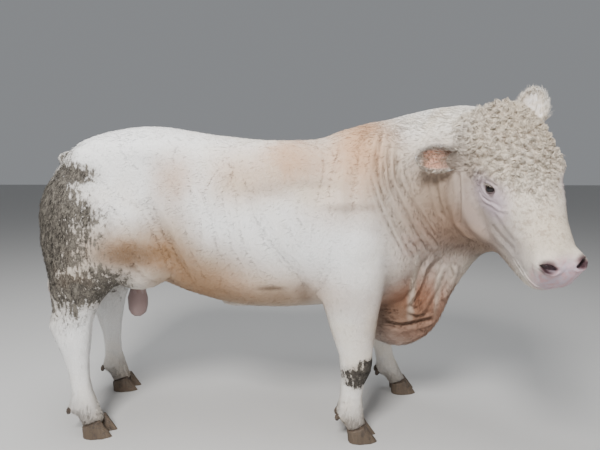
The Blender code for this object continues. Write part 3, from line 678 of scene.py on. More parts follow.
HEAD_MARKS = (
    Mark("straw", (0.12, 0.0, 0.02), (0.32, 0.17, 0.11), 0.6, 0.5, 0.66),
    # Partly real soiling and partly painted shade on the cheek behind the jaw.
    Mark("fawn", (0.1, 0.0, -0.24), (0.18, 0.4, 0.14), 0.8, 0.5, 0.88),
    # A painted shadow: a thin fawn band along the side of the face from below the eye towards the mouth.
    Mark("fawn", (0.4, 0.0, -0.1), (0.17, 0.4, 0.035), 0.8, 1.0, 0.3),
    Mark("haze", (0.36, 0.0, -0.12), (0.17, 0.4, 0.1), 0.8, 0.7, 0.55),
    Mark("cream", (0.33, 0.0, 0.01), (0.16, 0.12, 0.06), 0.8, 0.6, 0.7),
    Mark("straw", (0.5, 0.0, -0.02), (0.11, 0.1, 0.06), 0.8, 0.8, 0.6),
    # Partly real soiling and partly painted shade under the jaw.
    Mark("fawn", (0.42, 0.0, -0.33), (0.17, 0.2, 0.06), 0.8, 0.4, 0.5),
)


# The dung on the rear, low on the thigh and beside the tail, and last the two patches of the knee.
DUNG_SPOTS = (
    Mark("dung", (-0.865, -0.03, 0.93), (0.29, 0.5, 0.37), 0.44, 1.0),
    Mark("dung", (-0.715, -0.03, 0.73), (0.22, 0.5, 0.115), 0.54, 1.0),
    Mark("dung", (-0.735, -0.05, 1.215), (0.15, 0.42, 0.055), 0.6, 1.2),
    Mark("dung", (0.545, -0.31, 0.322), (0.068, 0.11, 0.056), 0.6, 1.5),
    Mark("dung", (0.588, -0.31, 0.368), (0.046, 0.11, 0.032), 0.6, 1.5),
)


class CoatFinish:
    """A finish with the markings that the skin and the coat share, in the frame's coordinates."""

    def __init__(self, name: str) -> None:
        """Starts the finish of that name, with the noises that fray its patches.

        Args:
            name: the material's name.
        """
        self.dye = dye = Dye(name)
        self.tint = tint = CoatColours()
        self.cloud = dye.noise(dye.place, 5.0, 3.0, 0.6)
        self.fleck = dye.noise(dye.place, 46.0, 3.0, 0.65)
        self.fine = dye.noise(dye.place, 150.0, 2.0, 0.6)
        self.colour = dye.mix(((self.cloud - 0.42) * 2.2 + 0.4).limit(), tint.white, tint.cream)
        self.marks()
        self.dirt = self.dung()
        self.bare = self.skin_patches()

    def lay(self, share: Value, colour: Any) -> None:
        """Lays a share of a colour over what there is."""
        self.colour = self.dye.mix(share, self.colour, colour)

    def marks(self) -> None:
        """Adds the soft patches of the body and head, some of them painted highlight and painted shade, and
        the speckled brown of the face.
        """
        dye = self.dye
        fray = self.cloud * 0.75 + self.fleck * 0.25 - 0.5
        for marks, axes, put in ((BODY_MARKS, dye.place, drawn), (HEAD_MARKS, dye.head_place, Vector)):
            for mark in marks:
                shape = dye.patch(axes, put(mark.middle), mark.reach, mark.edge, fray * (2 * mark.ragged))
                self.lay(shape * mark.share, getattr(self.tint, mark.colour))
        face = dye.patch(dye.head_place, (0.22, 0.0, 0.0), (0.34, 0.2, 0.14), 0.4, fray)
        self.lay(face * (self.fleck * 0.7 + self.fine * 0.3).step(0.46, 0.62) * 0.55, self.tint.fawn)

    def dung(self) -> Wire:
        """Adds the crusted dung of the thighs and the dirt of the feet and knee.

        Returns:
            How soiled the place is.
        """
        dye, tint, cloud, fleck, fine = self.dye, self.tint, self.cloud, self.fleck, self.fine
        matted = dye.noise(dye.stretched((1.0, 1.0, 0.42)), 64.0, 3.0, 0.62)
        fray = (cloud - 0.5) * 1.0 + (fleck - 0.5) * 0.5
        spots = [
            dye.patch(dye.place, drawn(spot.middle), spot.reach, spot.edge, fray * spot.ragged)
            for spot in DUNG_SPOTS
        ]
        knee = dye.most(*spots[-2:])
        crust = dye.most(*spots[:-2], knee)
        dirt = (crust * 1.25 + (matted - 0.5) * 2.4 + (fine - 0.5) * 0.8 - 0.16).step(0.3, 0.72)
        dirt = dirt * crust.step(0.02, 0.24)
        clod = dye.mix((matted * 0.6 + fine * 0.4).step(0.47, 0.62), tint.dung, tint.dung_dry)
        clod = dye.mix(cloud.step(0.55, 0.7) * 0.25, clod, tint.umber)
        clod = dye.mix(knee.step(0.02, 0.3) * 0.92, clod, tint.dung_wet)
        self.lay(crust.step(0.0, 0.6) * 0.55, tint.smear)
        self.lay(dirt * 0.97, clod)
        self.lay((fleck * 0.5 + fine * 0.5).step(0.635, 0.7) * cloud.step(0.46, 0.6) * 0.42, tint.umber)
        splash = (1 - (dye.height() + fray * 0.16).step(0.05, 0.24)) * 0.55
        self.lay(splash, tint.umber)
        return (dirt + splash * 0.4).limit()

    def skin_patches(self) -> Wire:
        """Adds the bare skin of the muzzle, the eyes and the pouch.

        Returns:
            How bare of hair the place is.
        """
        dye, tint, head = self.dye, self.tint, self.dye.head_place
        fray = (self.fleck - 0.5) * 0.5
        bare = dye.patch(head, (0.6, 0.0, -0.08), (0.07, 0.094, 0.084), 0.35, fray)
        self.lay(bare, dye.mix(self.fleck.step(0.35, 0.65), tint.rose, tint.lilac))
        for side in (-1, 1):
            lids = dye.patch(head, (0.268, side * 0.122, -0.066), (0.09, 0.08, 0.066), 0.5, fray)
            hole = dye.patch(head, (0.574, side * 0.057, -0.03), (0.026, 0.028, 0.02), 0.35, fray * 0.3)
            rim = dye.patch(head, (0.25, side * 0.136, -0.047), (0.03, 0.03, 0.0165), 0.3, fray * 0.2)
            self.lay(lids * 0.8, tint.lilac)
            self.lay(rim * 0.85, tint.lid_rim)
            self.lay(hole, tint.pit)
            bare = dye.most(bare, lids * 0.5)
        pouch = dye.patch(dye.place, drawn((-0.55, 0.0, 0.55)), (0.085, 0.085, 0.125), 0.25, fray)
        self.lay(pouch * 0.9, tint.mauve)
        return dye.most(bare, pouch)

    def skin(self) -> Finish:
        """The skin under the coat: short hair laid flat, pores where it is bare.

        Returns:
            The material.
        """
        dye, bare, dirt = self.dye, self.bare, self.dirt
        hair = dye.noise(dye.stretched((60.0, 60.0, 22.0)), 5.0, 3.0, 0.6)
        edges = {"feature": "DISTANCE_TO_EDGE"}
        pebble = dye.node("ShaderNodeTexVoronoi", edges, {"Vector": dye.place, "Scale": 240.0}, "Distance")
        crust = dye.noise(dye.place, 90.0, 4.0, 0.7)
        height = hair * (1 - bare) * 0.6 + pebble.limit() * bare * 2.0 + crust * dirt * 0.8
        dye.bump(height, 0.0022, 0.9)
        self.lay(hair.step(0.3, 0.62) * (1 - bare) * 0.18, self.tint.parting)
        rough = dye.blend(bare, 0.82, 0.46) + dirt * 0.08
        return dye.finish(
            Base_Color=self.colour, Roughness=rough.limit(), Specular_IOR_Level=0.12,
            Coat_Weight=bare * 0.25, Coat_Roughness=0.35,
        )

    def coat(self) -> Finish:
        """The hair: the same markings, tuft by tuft a little lighter or darker.

        Returns:
            The material.
        """
        dye, clean = self.dye, self.colour
        tone = dye.noise(dye.place, 210.0, 1.0, 0.5)
        self.lay(tone.step(0.28, 0.7) * 0.05, self.tint.lit)
        self.lay((1 - tone.step(0.25, 0.55)) * 0.09, self.tint.shaded)
        self.lay(self.dirt, clean)
        dye.bump(dye.noise(dye.place, 800.0, 1.0, 0.5), 0.0004, 0.6)
        rough = (self.dirt * 0.2 + 0.66).limit()
        return dye.finish(Base_Color=self.colour, Roughness=rough, Specular_IOR_Level=0.08)


# The skin and its relief


@dataclass(frozen=True)
class Crease:
    """A fold, groove or ridge that runs along a path on the skin.

    Args:
        path: points near the skin, in the drawing's coordinates or the head's.
        width: how wide it is, in metres.
        height: how far it stands out, or sinks in below zero.
        lip: how far the skin beside it bulges, as a share of the height.
    """

    path: tuple[Point, ...]
    width: float
    height: float
    lip: float = 0.35


@dataclass(frozen=True)
class Mass:
    """A soft swelling or hollow of the flesh.

    Args:
        middle: its middle, in the drawing's coordinates or the head's.
        reach: how far it reaches each way.
        height: how far it stands out, or sinks in below zero.
        both: whether the other side has it too.
    """

    middle: Point
    reach: Point
    height: float
    both: bool = True


# The neck is turned, so each of its folds is on one side only.
NECK_FOLDS = (
    Crease(((0.647, -0.14, 1.42), (0.607, -0.284, 1.317), (0.601, -0.311, 1.213), (0.637, -0.307, 1.108),
            (0.696, -0.3, 0.988), (0.753, -0.287, 0.89), (0.795, -0.26, 0.824)), 0.011, -0.008, 0.55),
    Crease(((0.666, -0.25, 1.361), (0.653, -0.288, 1.275), (0.667, -0.296, 1.17), (0.714, -0.309, 1.066),
            (0.773, -0.305, 0.954), (0.84, -0.286, 0.855)), 0.009, -0.006, 0.55),
    Crease(((0.696, -0.257, 1.318), (0.688, -0.29, 1.212), (0.724, -0.312, 1.129), (0.774, -0.325, 1.033),
            (0.819, -0.323, 0.948), (0.869, -0.306, 0.868)), 0.01, -0.008, 0.55),
    Crease(((0.585, -0.293, 1.284), (0.584, -0.315, 1.192), (0.616, -0.314, 1.087), (0.671, -0.304, 0.971),
            (0.717, -0.296, 0.883)), 0.009, -0.005, 0.5),
    Crease(((0.72, -0.297, 1.234), (0.74, -0.319, 1.13), (0.798, -0.336, 1.018), (0.843, -0.33, 0.932)),
           0.009, -0.006, 0.5),
    Crease(((0.636, -0.293, 1.275), (0.631, -0.308, 1.192), (0.664, -0.302, 1.086), (0.726, -0.301, 0.971),
            (0.788, -0.284, 0.881)), 0.008, -0.0045, 0.5),
    Crease(((0.885, -0.487, 1.235), (0.892, -0.49, 1.121), (0.906, -0.435, 1.006)), 0.01, -0.007, 0.4),
    Crease(((0.8, -0.4, 1.25), (0.815, -0.41, 1.13), (0.85, -0.4, 1.01)), 0.012, -0.006, 0.4),
    Crease(((0.762, -0.144, 0.589), (0.794, -0.161, 0.652), (0.836, -0.206, 0.739), (0.871, -0.286, 0.838)),
           0.013, 0.013, 0.4),
    Crease(((0.762, -0.144, 0.58), (0.833, -0.161, 0.576), (0.862, -0.184, 0.64), (0.89, -0.209, 0.722),
            (0.886, -0.292, 0.839)), 0.013, 0.015, 0.4),
    Crease(((0.932, -0.296, 0.823), (0.952, -0.281, 0.758), (0.95, -0.254, 0.683), (0.94, -0.23, 0.62)),
           0.012, 0.012, 0.4),
    Crease(((0.66, -0.114, 0.516), (0.748, -0.128, 0.496), (0.837, -0.148, 0.524), (0.905, -0.17, 0.551)),
           0.014, -0.016, 0.5),
    Crease(((0.7, -0.02, 0.47), (0.8, -0.03, 0.44), (0.9, -0.05, 0.48)), 0.014, -0.012, 0.5),
    Crease(((0.64, 0.15, 0.53), (0.74, 0.13, 0.51), (0.85, 0.1, 0.54)), 0.014, -0.012, 0.5),
    Crease(((0.64, 0.29, 1.3), (0.66, 0.31, 1.18), (0.7, 0.31, 1.05), (0.76, 0.27, 0.9)), 0.014, -0.007, 0.4),
    Crease(((0.73, 0.26, 1.28), (0.76, 0.27, 1.15), (0.81, 0.25, 1.0)), 0.014, -0.006, 0.4),
)
BODY_FOLDS = (
    Crease(((0.095, -0.349, 1.068), (0.12, -0.357, 0.985), (0.162, -0.357, 0.9), (0.22, -0.347, 0.83),
            (0.278, -0.307, 0.742), (0.33, -0.218, 0.646)), 0.036, -0.016, 0.45),
    Crease(((-0.408, -0.292, 1.126), (-0.384, -0.291, 1.061), (-0.35, -0.285, 0.982), (-0.313, -0.272, 0.901),
            (-0.271, -0.242, 0.796), (-0.211, -0.168, 0.69)), 0.04, -0.018, 0.45),
    Crease(((-0.124, -0.323, 1.086), (-0.09, -0.318, 1.149), (-0.053, -0.303, 1.212),
            (-0.011, -0.298, 1.254)), 0.022, 0.013, 0.4),
    Crease(((0.48, -0.2, 1.38), (0.47, -0.265, 1.255), (0.45, -0.3, 1.13), (0.44, -0.32, 1.02)),
           0.028, 0.013, 0.5),
    Crease(((0.38, -0.25, 1.3), (0.37, -0.3, 1.17), (0.35, -0.32, 1.06)), 0.028, -0.008, 0.4),
    Crease(((-0.6, -0.33, 1.15), (-0.64, -0.33, 1.0), (-0.65, -0.32, 0.88), (-0.64, -0.29, 0.76)),
           0.028, -0.014, 0.5),
    Crease(((-0.473, -0.3, 0.834), (-0.434, -0.273, 0.77), (-0.381, -0.22, 0.717)), 0.018, -0.008, 0.4),
)
RIBS = 8
LEG_FOLDS = (
    Crease(((0.43, -0.3, 0.52), (0.47, -0.31, 0.42), (0.5, -0.31, 0.3)), 0.012, -0.003, 0.3),
    Crease(((0.47, -0.242, 0.43), (0.46, -0.242, 0.3), (0.456, -0.242, 0.2)), 0.012, 0.004, 0.2),
    Crease(((0.59, -0.25, 0.34), (0.56, -0.292, 0.33), (0.52, -0.305, 0.325)), 0.008, -0.003, 0.4),
    Crease(((0.59, -0.25, 0.372), (0.56, -0.292, 0.366), (0.52, -0.305, 0.362)), 0.008, -0.003, 0.4),
    Crease(((-0.79, -0.2, 0.64), (-0.835, -0.195, 0.56), (-0.85, -0.19, 0.48)), 0.014, 0.005, 0.2),
    Crease(((-0.76, -0.245, 0.64), (-0.8, -0.24, 0.56), (-0.815, -0.235, 0.49)), 0.013, -0.007, 0.3),
)
MASSES = (
    Mass((-0.2, -0.3, 1.16), (0.13, 0.2, 0.14), -0.02),
    Mass((-0.36, -0.24, 1.3), (0.07, 0.12, 0.06), 0.016),
    Mass((0.3, -0.34, 0.96), (0.09, 0.2, 0.17), -0.013),
    Mass((0.46, -0.33, 0.86), (0.12, 0.2, 0.13), 0.013),
    Mass((0.46, -0.34, 1.09), (0.12, 0.2, 0.1), 0.011),
    Mass((-0.5, -0.3, 1.05), (0.14, 0.2, 0.15), 0.012),
    Mass((-0.8, -0.2, 1.0), (0.08, 0.14, 0.16), 0.008),
    Mass((0.06, -0.34, 0.92), (0.18, 0.2, 0.15), 0.013),
    Mass((0.8, -0.3, 1.15), (0.1, 0.16, 0.16), 0.008, False),
)


class Relief:
    """Muscles, folds and wrinkles, pressed into a mesh along its normals."""

    PATH_POINTS = 28

    def __init__(self, obj: Piece) -> None:
        """Reads the mesh.

        Args:
            obj: the piece whose mesh is pressed.
        """
        self.obj = obj
        self.points = points_of(obj)
        self.normals = normals_of(obj)
        self.rise = np.zeros(len(self.points))
        self.tree = tree_of(obj)

    def snap(self, path: Rows) -> Rows:
        """The path's points, each moved to the nearest place on the mesh."""
        return np.array([tuple(self.tree.find_nearest(Vector(p))[0]) for p in path])

    def distance(self, path: Rows, reach: float) -> tuple[Rows, Rows, Rows]:
        """How far vertices lie from a path.

        Args:
            path: the path's points.
            reach: how far away vertices still count.

        Returns:
            The vertices that count, their distances and how far along the path each lies.
        """
        low, high = path.min(0) - reach, path.max(0) + reach
        near = np.nonzero(((self.points > low) & (self.points < high)).all(1))[0]
        rows = self.points[near]
        best = np.full(len(rows), 1e9)
        along = np.zeros(len(rows))
        for k in range(len(path) - 1):
            a, ab = path[k], path[k + 1] - path[k]
            share = np.clip((rows - a) @ ab / max(ab @ ab, TINY), 0, 1)
            away = norm(rows - a - share[:, None] * ab, axis=1)
            closer = away < best
            best[closer] = away[closer]
            along[closer] = (k + share[closer]) / (len(path) - 1)
        return near, best, along

    def crease(self, crease: Crease, place: Placer = drawn, flips: Sequence[int] = (1, -1)) -> None:
        """Presses one crease in.

        Args:
            crease: the crease.
            place: moves its points to the frame.
            flips: what y is multiplied by, for each side that has the crease.
        """
        for flip in flips:
            points = [place((x, flip * y, z)) for x, y, z in crease.path]
            path = self.snap(smooth_path(points, self.PATH_POINTS))
            near, away, along = self.distance(path, crease.width * 3.2)
            taper = step(along, 0.0, 0.16) * step(along, 1.0, 0.84)
            lip = bell(away - 1.7 * crease.width, 0.75 * crease.width) * crease.lip
            self.rise[near] += crease.height * taper * (bell(away, crease.width) - lip)

    def mass(self, mass: Mass, place: Placer = drawn) -> None:
        """Raises or hollows one soft mass, on one side or both.

        Args:
            mass: the mass.
            place: moves its middle to the frame.
        """
        for flip in (1, -1) if mass.both else (1,):
            x, y, z = mass.middle
            away = (self.points - np.array(place((x, flip * y, z)))) / np.array(mass.reach)
            self.rise += mass.height * np.exp(-(away**2).sum(1))

    def ribs(self) -> None:
        """Raises the ribs faintly behind the shoulder."""
        x = self.points[:, 0] - SHIFT.x
        z = self.points[:, 2]
        wave = np.cos((x + 0.22 * (z - 1.0)) * 2 * pi * RIBS / 0.52)
        zone = step(x, -0.3, -0.14) * step(x, 0.22, 0.06) * step(z, 0.74, 0.9) * step(z, 1.3, 1.12)
        self.rise += 0.0014 * wave * zone

    def ripples(self) -> None:
        """Breaks the skin up with soft unevenness, so that no surface is quite smooth."""
        x, y, z = self.points.T
        slow = np.sin(x * 23 + 3 * np.sin(z * 9)) * np.sin(z * 19 + 2 * np.sin(y * 15))
        quick = np.sin(x * 71 + 4 * np.sin(z * 31)) * np.sin(z * 63 + 3 * np.sin(x * 37))
        self.rise += 0.0014 * slow + 0.0005 * quick

    def press(self, inward: float = 0.0) -> None:
        """Moves the mesh by what has been added up, and inwards by a depth."""
        move_points(self.obj, self.points + self.normals * (self.rise - inward)[:, None])


@dataclass
class Skin:
    """The one skin over all the flesh.

    Args:
        voxel: the mesh size that the flesh is joined at.
        swell: how far the parts are grown first, so that the cuts between them close.
        rounds: how often it is smoothed.
        depth: how deep it lies under the tips of the coat.
        triangles: how many it keeps at the end.
        pad_ahead: where the fetlock's pad that a dewclaw sits in lies, from the dewclaw's middle.
        pad_reach: how far such a pad reaches each way.
        pad_height: how far it stands out.
    """

    voxel: float = 0.0062
    swell: float = 0.0036
    rounds: int = 38
    depth: float = 0.0042
    triangles: int = 184000
    pad_ahead: Point = (0.008, 0.0, 0.006)
    pad_reach: Point = (0.033, 0.024, 0.033)
    pad_height: float = 0.021

    def build(self) -> Piece:
        """Makes the skin.

        Returns:
            The skin, riding on the body.
        """
        obj = self.gather()
        self.melt(obj)
        self.refine(obj)
        self.shape(obj)
        self.thin(obj)
        unfold(obj)
        obj.data.materials.clear()
        round_off(obj)
        dress(obj, "coat", CoatFinish("hide").skin(), *FLESH)
        return obj

    def gather(self) -> Piece:
        """Joins copies of the parts of the flesh, with the dock of the tail.

        Returns:
            The joined mesh, its parts a little swollen.
        """
        copies = [link("part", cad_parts[name].data.copy()) for name in FLESH]
        copies.append(self.dock())
        deselect()
        for copy in copies:
            copy.select_set(True)
        bpy.context.view_layer.objects.active = copies[0]
        bpy.ops.object.join()
        obj = bpy.context.view_layer.objects.active
        obj.name = "skin"
        edit_whole(bpy.ops.mesh.remove_doubles, threshold=MERGE)
        apply(obj, "DISPLACE", mid_level=0.0, strength=self.swell)
        return obj

    def dock(self) -> Piece:
        """The dock of the tail, a tapering rod from the rump to the switch.

        Returns:
            The rod.
        """
        rows = smooth_path([drawn(row[:3]) for row in DOCK], DOCK_RINGS)
        rings = np.linspace(0, len(DOCK) - 1, DOCK_RINGS)
        radii = np.interp(rings, range(len(DOCK)), [row[3] for row in DOCK])
        return tube("dock", rows, radii, DOCK_SIDES)

    def melt(self, obj: Piece) -> None:
        """Fuses the parts to one surface and smooths away cuts, facets and the poll's clumps.

        Args:
            obj: the skin's mesh.
        """
        apply(obj, "REMESH", mode="VOXEL", voxel_size=self.voxel, use_smooth_shade=True)
        keep_largest(obj)
        apply(obj, "SMOOTH", factor=0.5, iterations=self.rounds)
        head = in_head(points_of(obj))
        poll = step(head[:, 0], 0.25, 0.17) * step(head[:, 0], -0.16, -0.08) * step(head[:, 2], -0.09, -0.03)
        poll *= step(np.abs(head[:, 1]), 0.19, 0.14)
        weigh(obj, "poll", poll)
        apply(obj, "SMOOTH", factor=0.5, iterations=150, vertex_group="poll")
        away = oval(points_of(obj), drawn((-0.55, 0.0, 0.56)), (0.1, 0.1, 0.13))
        weigh(obj, "pouch", step(away, 1.1, 0.8))
        apply(obj, "SMOOTH", factor=0.5, iterations=60, vertex_group="pouch")

    def thin(self, obj: Piece) -> None:
        """Thins the mesh, more on the trunk than on the head and neck.

        Args:
            obj: the skin's mesh.
        """
        points = points_of(obj)
        head = in_head(points)
        face = step(head[:, 0], 0.1, 0.22) * step(norm(head * (0.5, 1, 1), axis=1), 0.52, 0.44)
        x, z = points[:, 0] - SHIFT.x, points[:, 2]
        neck = step(x, 0.45, 0.6) * step(z, 0.42, 0.55)
        weigh(obj, "plain", np.clip(1.0 - np.maximum(0.9 * face, 0.35 * neck), 0.0, 1.0))
        apply(obj, "TRIANGULATE")
        ratio = self.triangles / len(obj.data.polygons)
        apply(obj, "DECIMATE", ratio=ratio, vertex_group="plain", use_collapse_triangulate=True)
        obj.vertex_groups.clear()

    def refine(self, obj: Piece) -> None:
        """Splits the triangles of the muzzle and round the eyes finer.

        Args:
            obj: the skin's mesh.
        """
        zones = [(np.array(on_head((0.565, 0.0, -0.085))), 0.104)]
        zones += [(np.array(on_head((EYE.x + 0.01, 0.128, EYE.z), side)), 0.05) for side in Side]
        mesh = bmesh.new()
        mesh.from_mesh(obj.data)
        for middle, reach in zones:
            near = [
                edge for edge in mesh.edges
                if all((vert.co - Vector(middle)).length < reach for vert in edge.verts)
            ]
            bmesh.ops.subdivide_edges(mesh, edges=near, cuts=1, use_grid_fill=True)
        bmesh.ops.triangulate(mesh, faces=[face for face in mesh.faces if len(face.verts) > 3])
        mesh.to_mesh(obj.data)
        mesh.free()

    def shape(self, obj: Piece) -> None:
        """Presses in the muscles, folds and wrinkles, and sinks the skin under its coat.

        Args:
            obj: the skin's mesh.
        """
        relief = Relief(obj)
        for mass in MASSES:
            relief.mass(mass)
        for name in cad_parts:
            if name.startswith("dewclaw_"):
                middle = box_middle(name) + Vector(self.pad_ahead)
                relief.mass(Mass(tuple(middle), self.pad_reach, self.pad_height, False), Vector)
        for crease in NECK_FOLDS:
            relief.crease(crease, flips=(1,))
        for crease in BODY_FOLDS + LEG_FOLDS:
            relief.crease(crease)
        for crease in FACE_FOLDS:
            relief.crease(crease, on_head)
        for mass in FACE_MASSES:
            relief.mass(mass, on_head)
        relief.ribs()
        relief.ripples()
        head = in_head(relief.points)
        feet = step(relief.points[:, 2], 0.04, 0.3)
        face = step(head[:, 0], 0.4, 0.15) * 0.6 + 0.4
        near_head = norm(head - (0.3, 0, -0.15), axis=1) < 0.42
        inward = self.depth * (0.3 + 0.7 * feet) * np.where(near_head, face, 1.0) + self.swell - 0.0012
        relief.press(inward)
        points = points_of(obj)
        for side in Side:
            points = nostril(Eye(side).hollow(points), side)
        move_points(obj, points)


def keep_largest(obj: Piece) -> None:
    """Deletes all but the largest joined surface of a mesh.

    Args:
        obj: the piece.
    """
    mesh = bmesh.new()
    mesh.from_mesh(obj.data)
    left: set[bmesh.types.BMVert] = set(mesh.verts)
    best: set[bmesh.types.BMVert] = set()
    while left:
        group, queue = set(), [left.pop()]
        while queue:
            vert = queue.pop()
            group.add(vert)
            fresh = {edge.other_vert(vert) for edge in vert.link_edges} & left
            left -= fresh
            queue += fresh
        best = max(best, group, key=len)
    bmesh.ops.delete(mesh, geom=[vert for vert in mesh.verts if vert not in best], context="VERTS")
    mesh.to_mesh(obj.data)
    mesh.free()


def tube(name: str, rows: Rows, radii: Rows, sides: int) -> Piece:
    """A closed round tube along points.

    Args:
        name: the object's name.
        rows: the points of its middle.
        radii: its radius at each point.
        sides: how many sides it has.

    Returns:
        The tube.
    """
    mesh = bmesh.new()
    loops = []
    for k, row in enumerate(rows):
        ahead = Vector(rows[min(k + 1, len(rows) - 1)] - rows[max(k - 1, 0)]).normalized()
        first = ahead.cross(Vector((0, 1, 0))).normalized()
        second = ahead.cross(first)
        turns = [2 * pi * m / sides for m in range(sides)]
        loops.append([
            mesh.verts.new(Vector(row) + (first * cos(a) + second * sin(a)) * float(radii[k]))
            for a in turns
        ])
    for one, two in zip(loops, loops[1:]):
        for m in range(sides):
            mesh.faces.new((one[m], one[(m + 1) % sides], two[(m + 1) % sides], two[m]))
    mesh.faces.new(reversed(loops[0]))
    mesh.faces.new(loops[-1])
    bmesh.ops.recalc_face_normals(mesh, faces=mesh.faces)
    return link_mesh(name, mesh)


# The face

FACE_FOLDS = (
    Crease(((0.242, 0.134, -0.111), (0.289, 0.124, -0.079), (0.332, 0.111, -0.055), (0.345, 0.1, -0.03)),
           0.007, 0.003, 0.5),
    Crease(((0.215, 0.132, -0.095), (0.25, 0.13, -0.095), (0.29, 0.118, -0.072)), 0.005, -0.0035, 0.4),
    Crease(((0.21, 0.128, -0.03), (0.235, 0.122, -0.012), (0.262, 0.112, -0.008)), 0.006, -0.0035, 0.5),
    Crease(((0.64, 0.0, -0.133), (0.6, 0.062, -0.137), (0.545, 0.086, -0.146), (0.468, 0.096, -0.16)),
           0.0045, -0.0085, 0.5),
    Crease(((0.329, 0.122, -0.16), (0.4, 0.1, -0.15), (0.47, 0.09, -0.12)), 0.016, -0.0035, 0.3),
    Crease(((0.3, 0.112, -0.08), (0.38, 0.098, -0.078), (0.45, 0.082, -0.075)), 0.014, 0.0025, 0.3),
    Crease(((0.1, 0.14, -0.12), (0.16, 0.145, -0.21), (0.25, 0.14, -0.28), (0.34, 0.12, -0.28)),
           0.02, 0.006, 0.3),
)
FACE_MASSES = (
    Mass((0.205, 0.105, -0.004), (0.045, 0.03, 0.03), 0.006),
    Mass((0.42, 0.06, -0.02), (0.1, 0.03, 0.04), -0.004),
    Mass((0.18, 0.14, -0.2), (0.09, 0.05, 0.08), 0.006),
    Mass((0.56, 0.075, -0.06), (0.03, 0.02, 0.025), 0.005),
    Mass((0.52, 0.07, -0.105), (0.03, 0.02, 0.02), 0.004),
)


# The nostrils: middle on the left side, half length, half width, how deep, and how high the rim stands.
NOSTRIL = (0.578, 0.056, -0.026)
NOSTRIL_LONG, NOSTRIL_WIDE = 0.027, 0.0125
NOSTRIL_DEEP, NOSTRIL_RIM = 0.026, 0.0035


def nostril(points: Rows, side: Side) -> Rows:
    """Sinks one comma-shaped nostril with a rim.

    Args:
        points: the skin's vertices.
        side: the nostril's side.

    Returns:
        The vertices with the nostril in them.
    """
    axis = Vector((0.62, 0.36, 0.7)).normalized()
    along = Vector((-0.72, 0.66, 0.1)).normalized()
    across = axis.cross(along).normalized()
    head = in_head(points) * (1, side.value, 1)
    away = head - NOSTRIL
    u, v, w = away @ np.array(along), away @ np.array(across), away @ np.array(axis)
    bent = v + 0.3 * u * np.abs(u) / 0.028 + 0.004
    width = NOSTRIL_WIDE - 0.12 * u
    ring = np.sqrt((u / NOSTRIL_LONG) ** 2 + (bent / np.maximum(width, 0.004)) ** 2)
    near = np.abs(w) < 0.035
    pit = step(ring, 1.1, 0.55) * near
    rim = bell(ring - 1.35, 0.3) * near * (u**2 + v**2 < 0.05**2)
    head += np.outer(NOSTRIL_RIM * rim - NOSTRIL_DEEP * pit, np.array(axis))
    touched = (pit > 1e-3) | (rim > 1e-3)
    points[touched] = carry(head * (1, side.value, 1), HEAD)[touched]
    return points


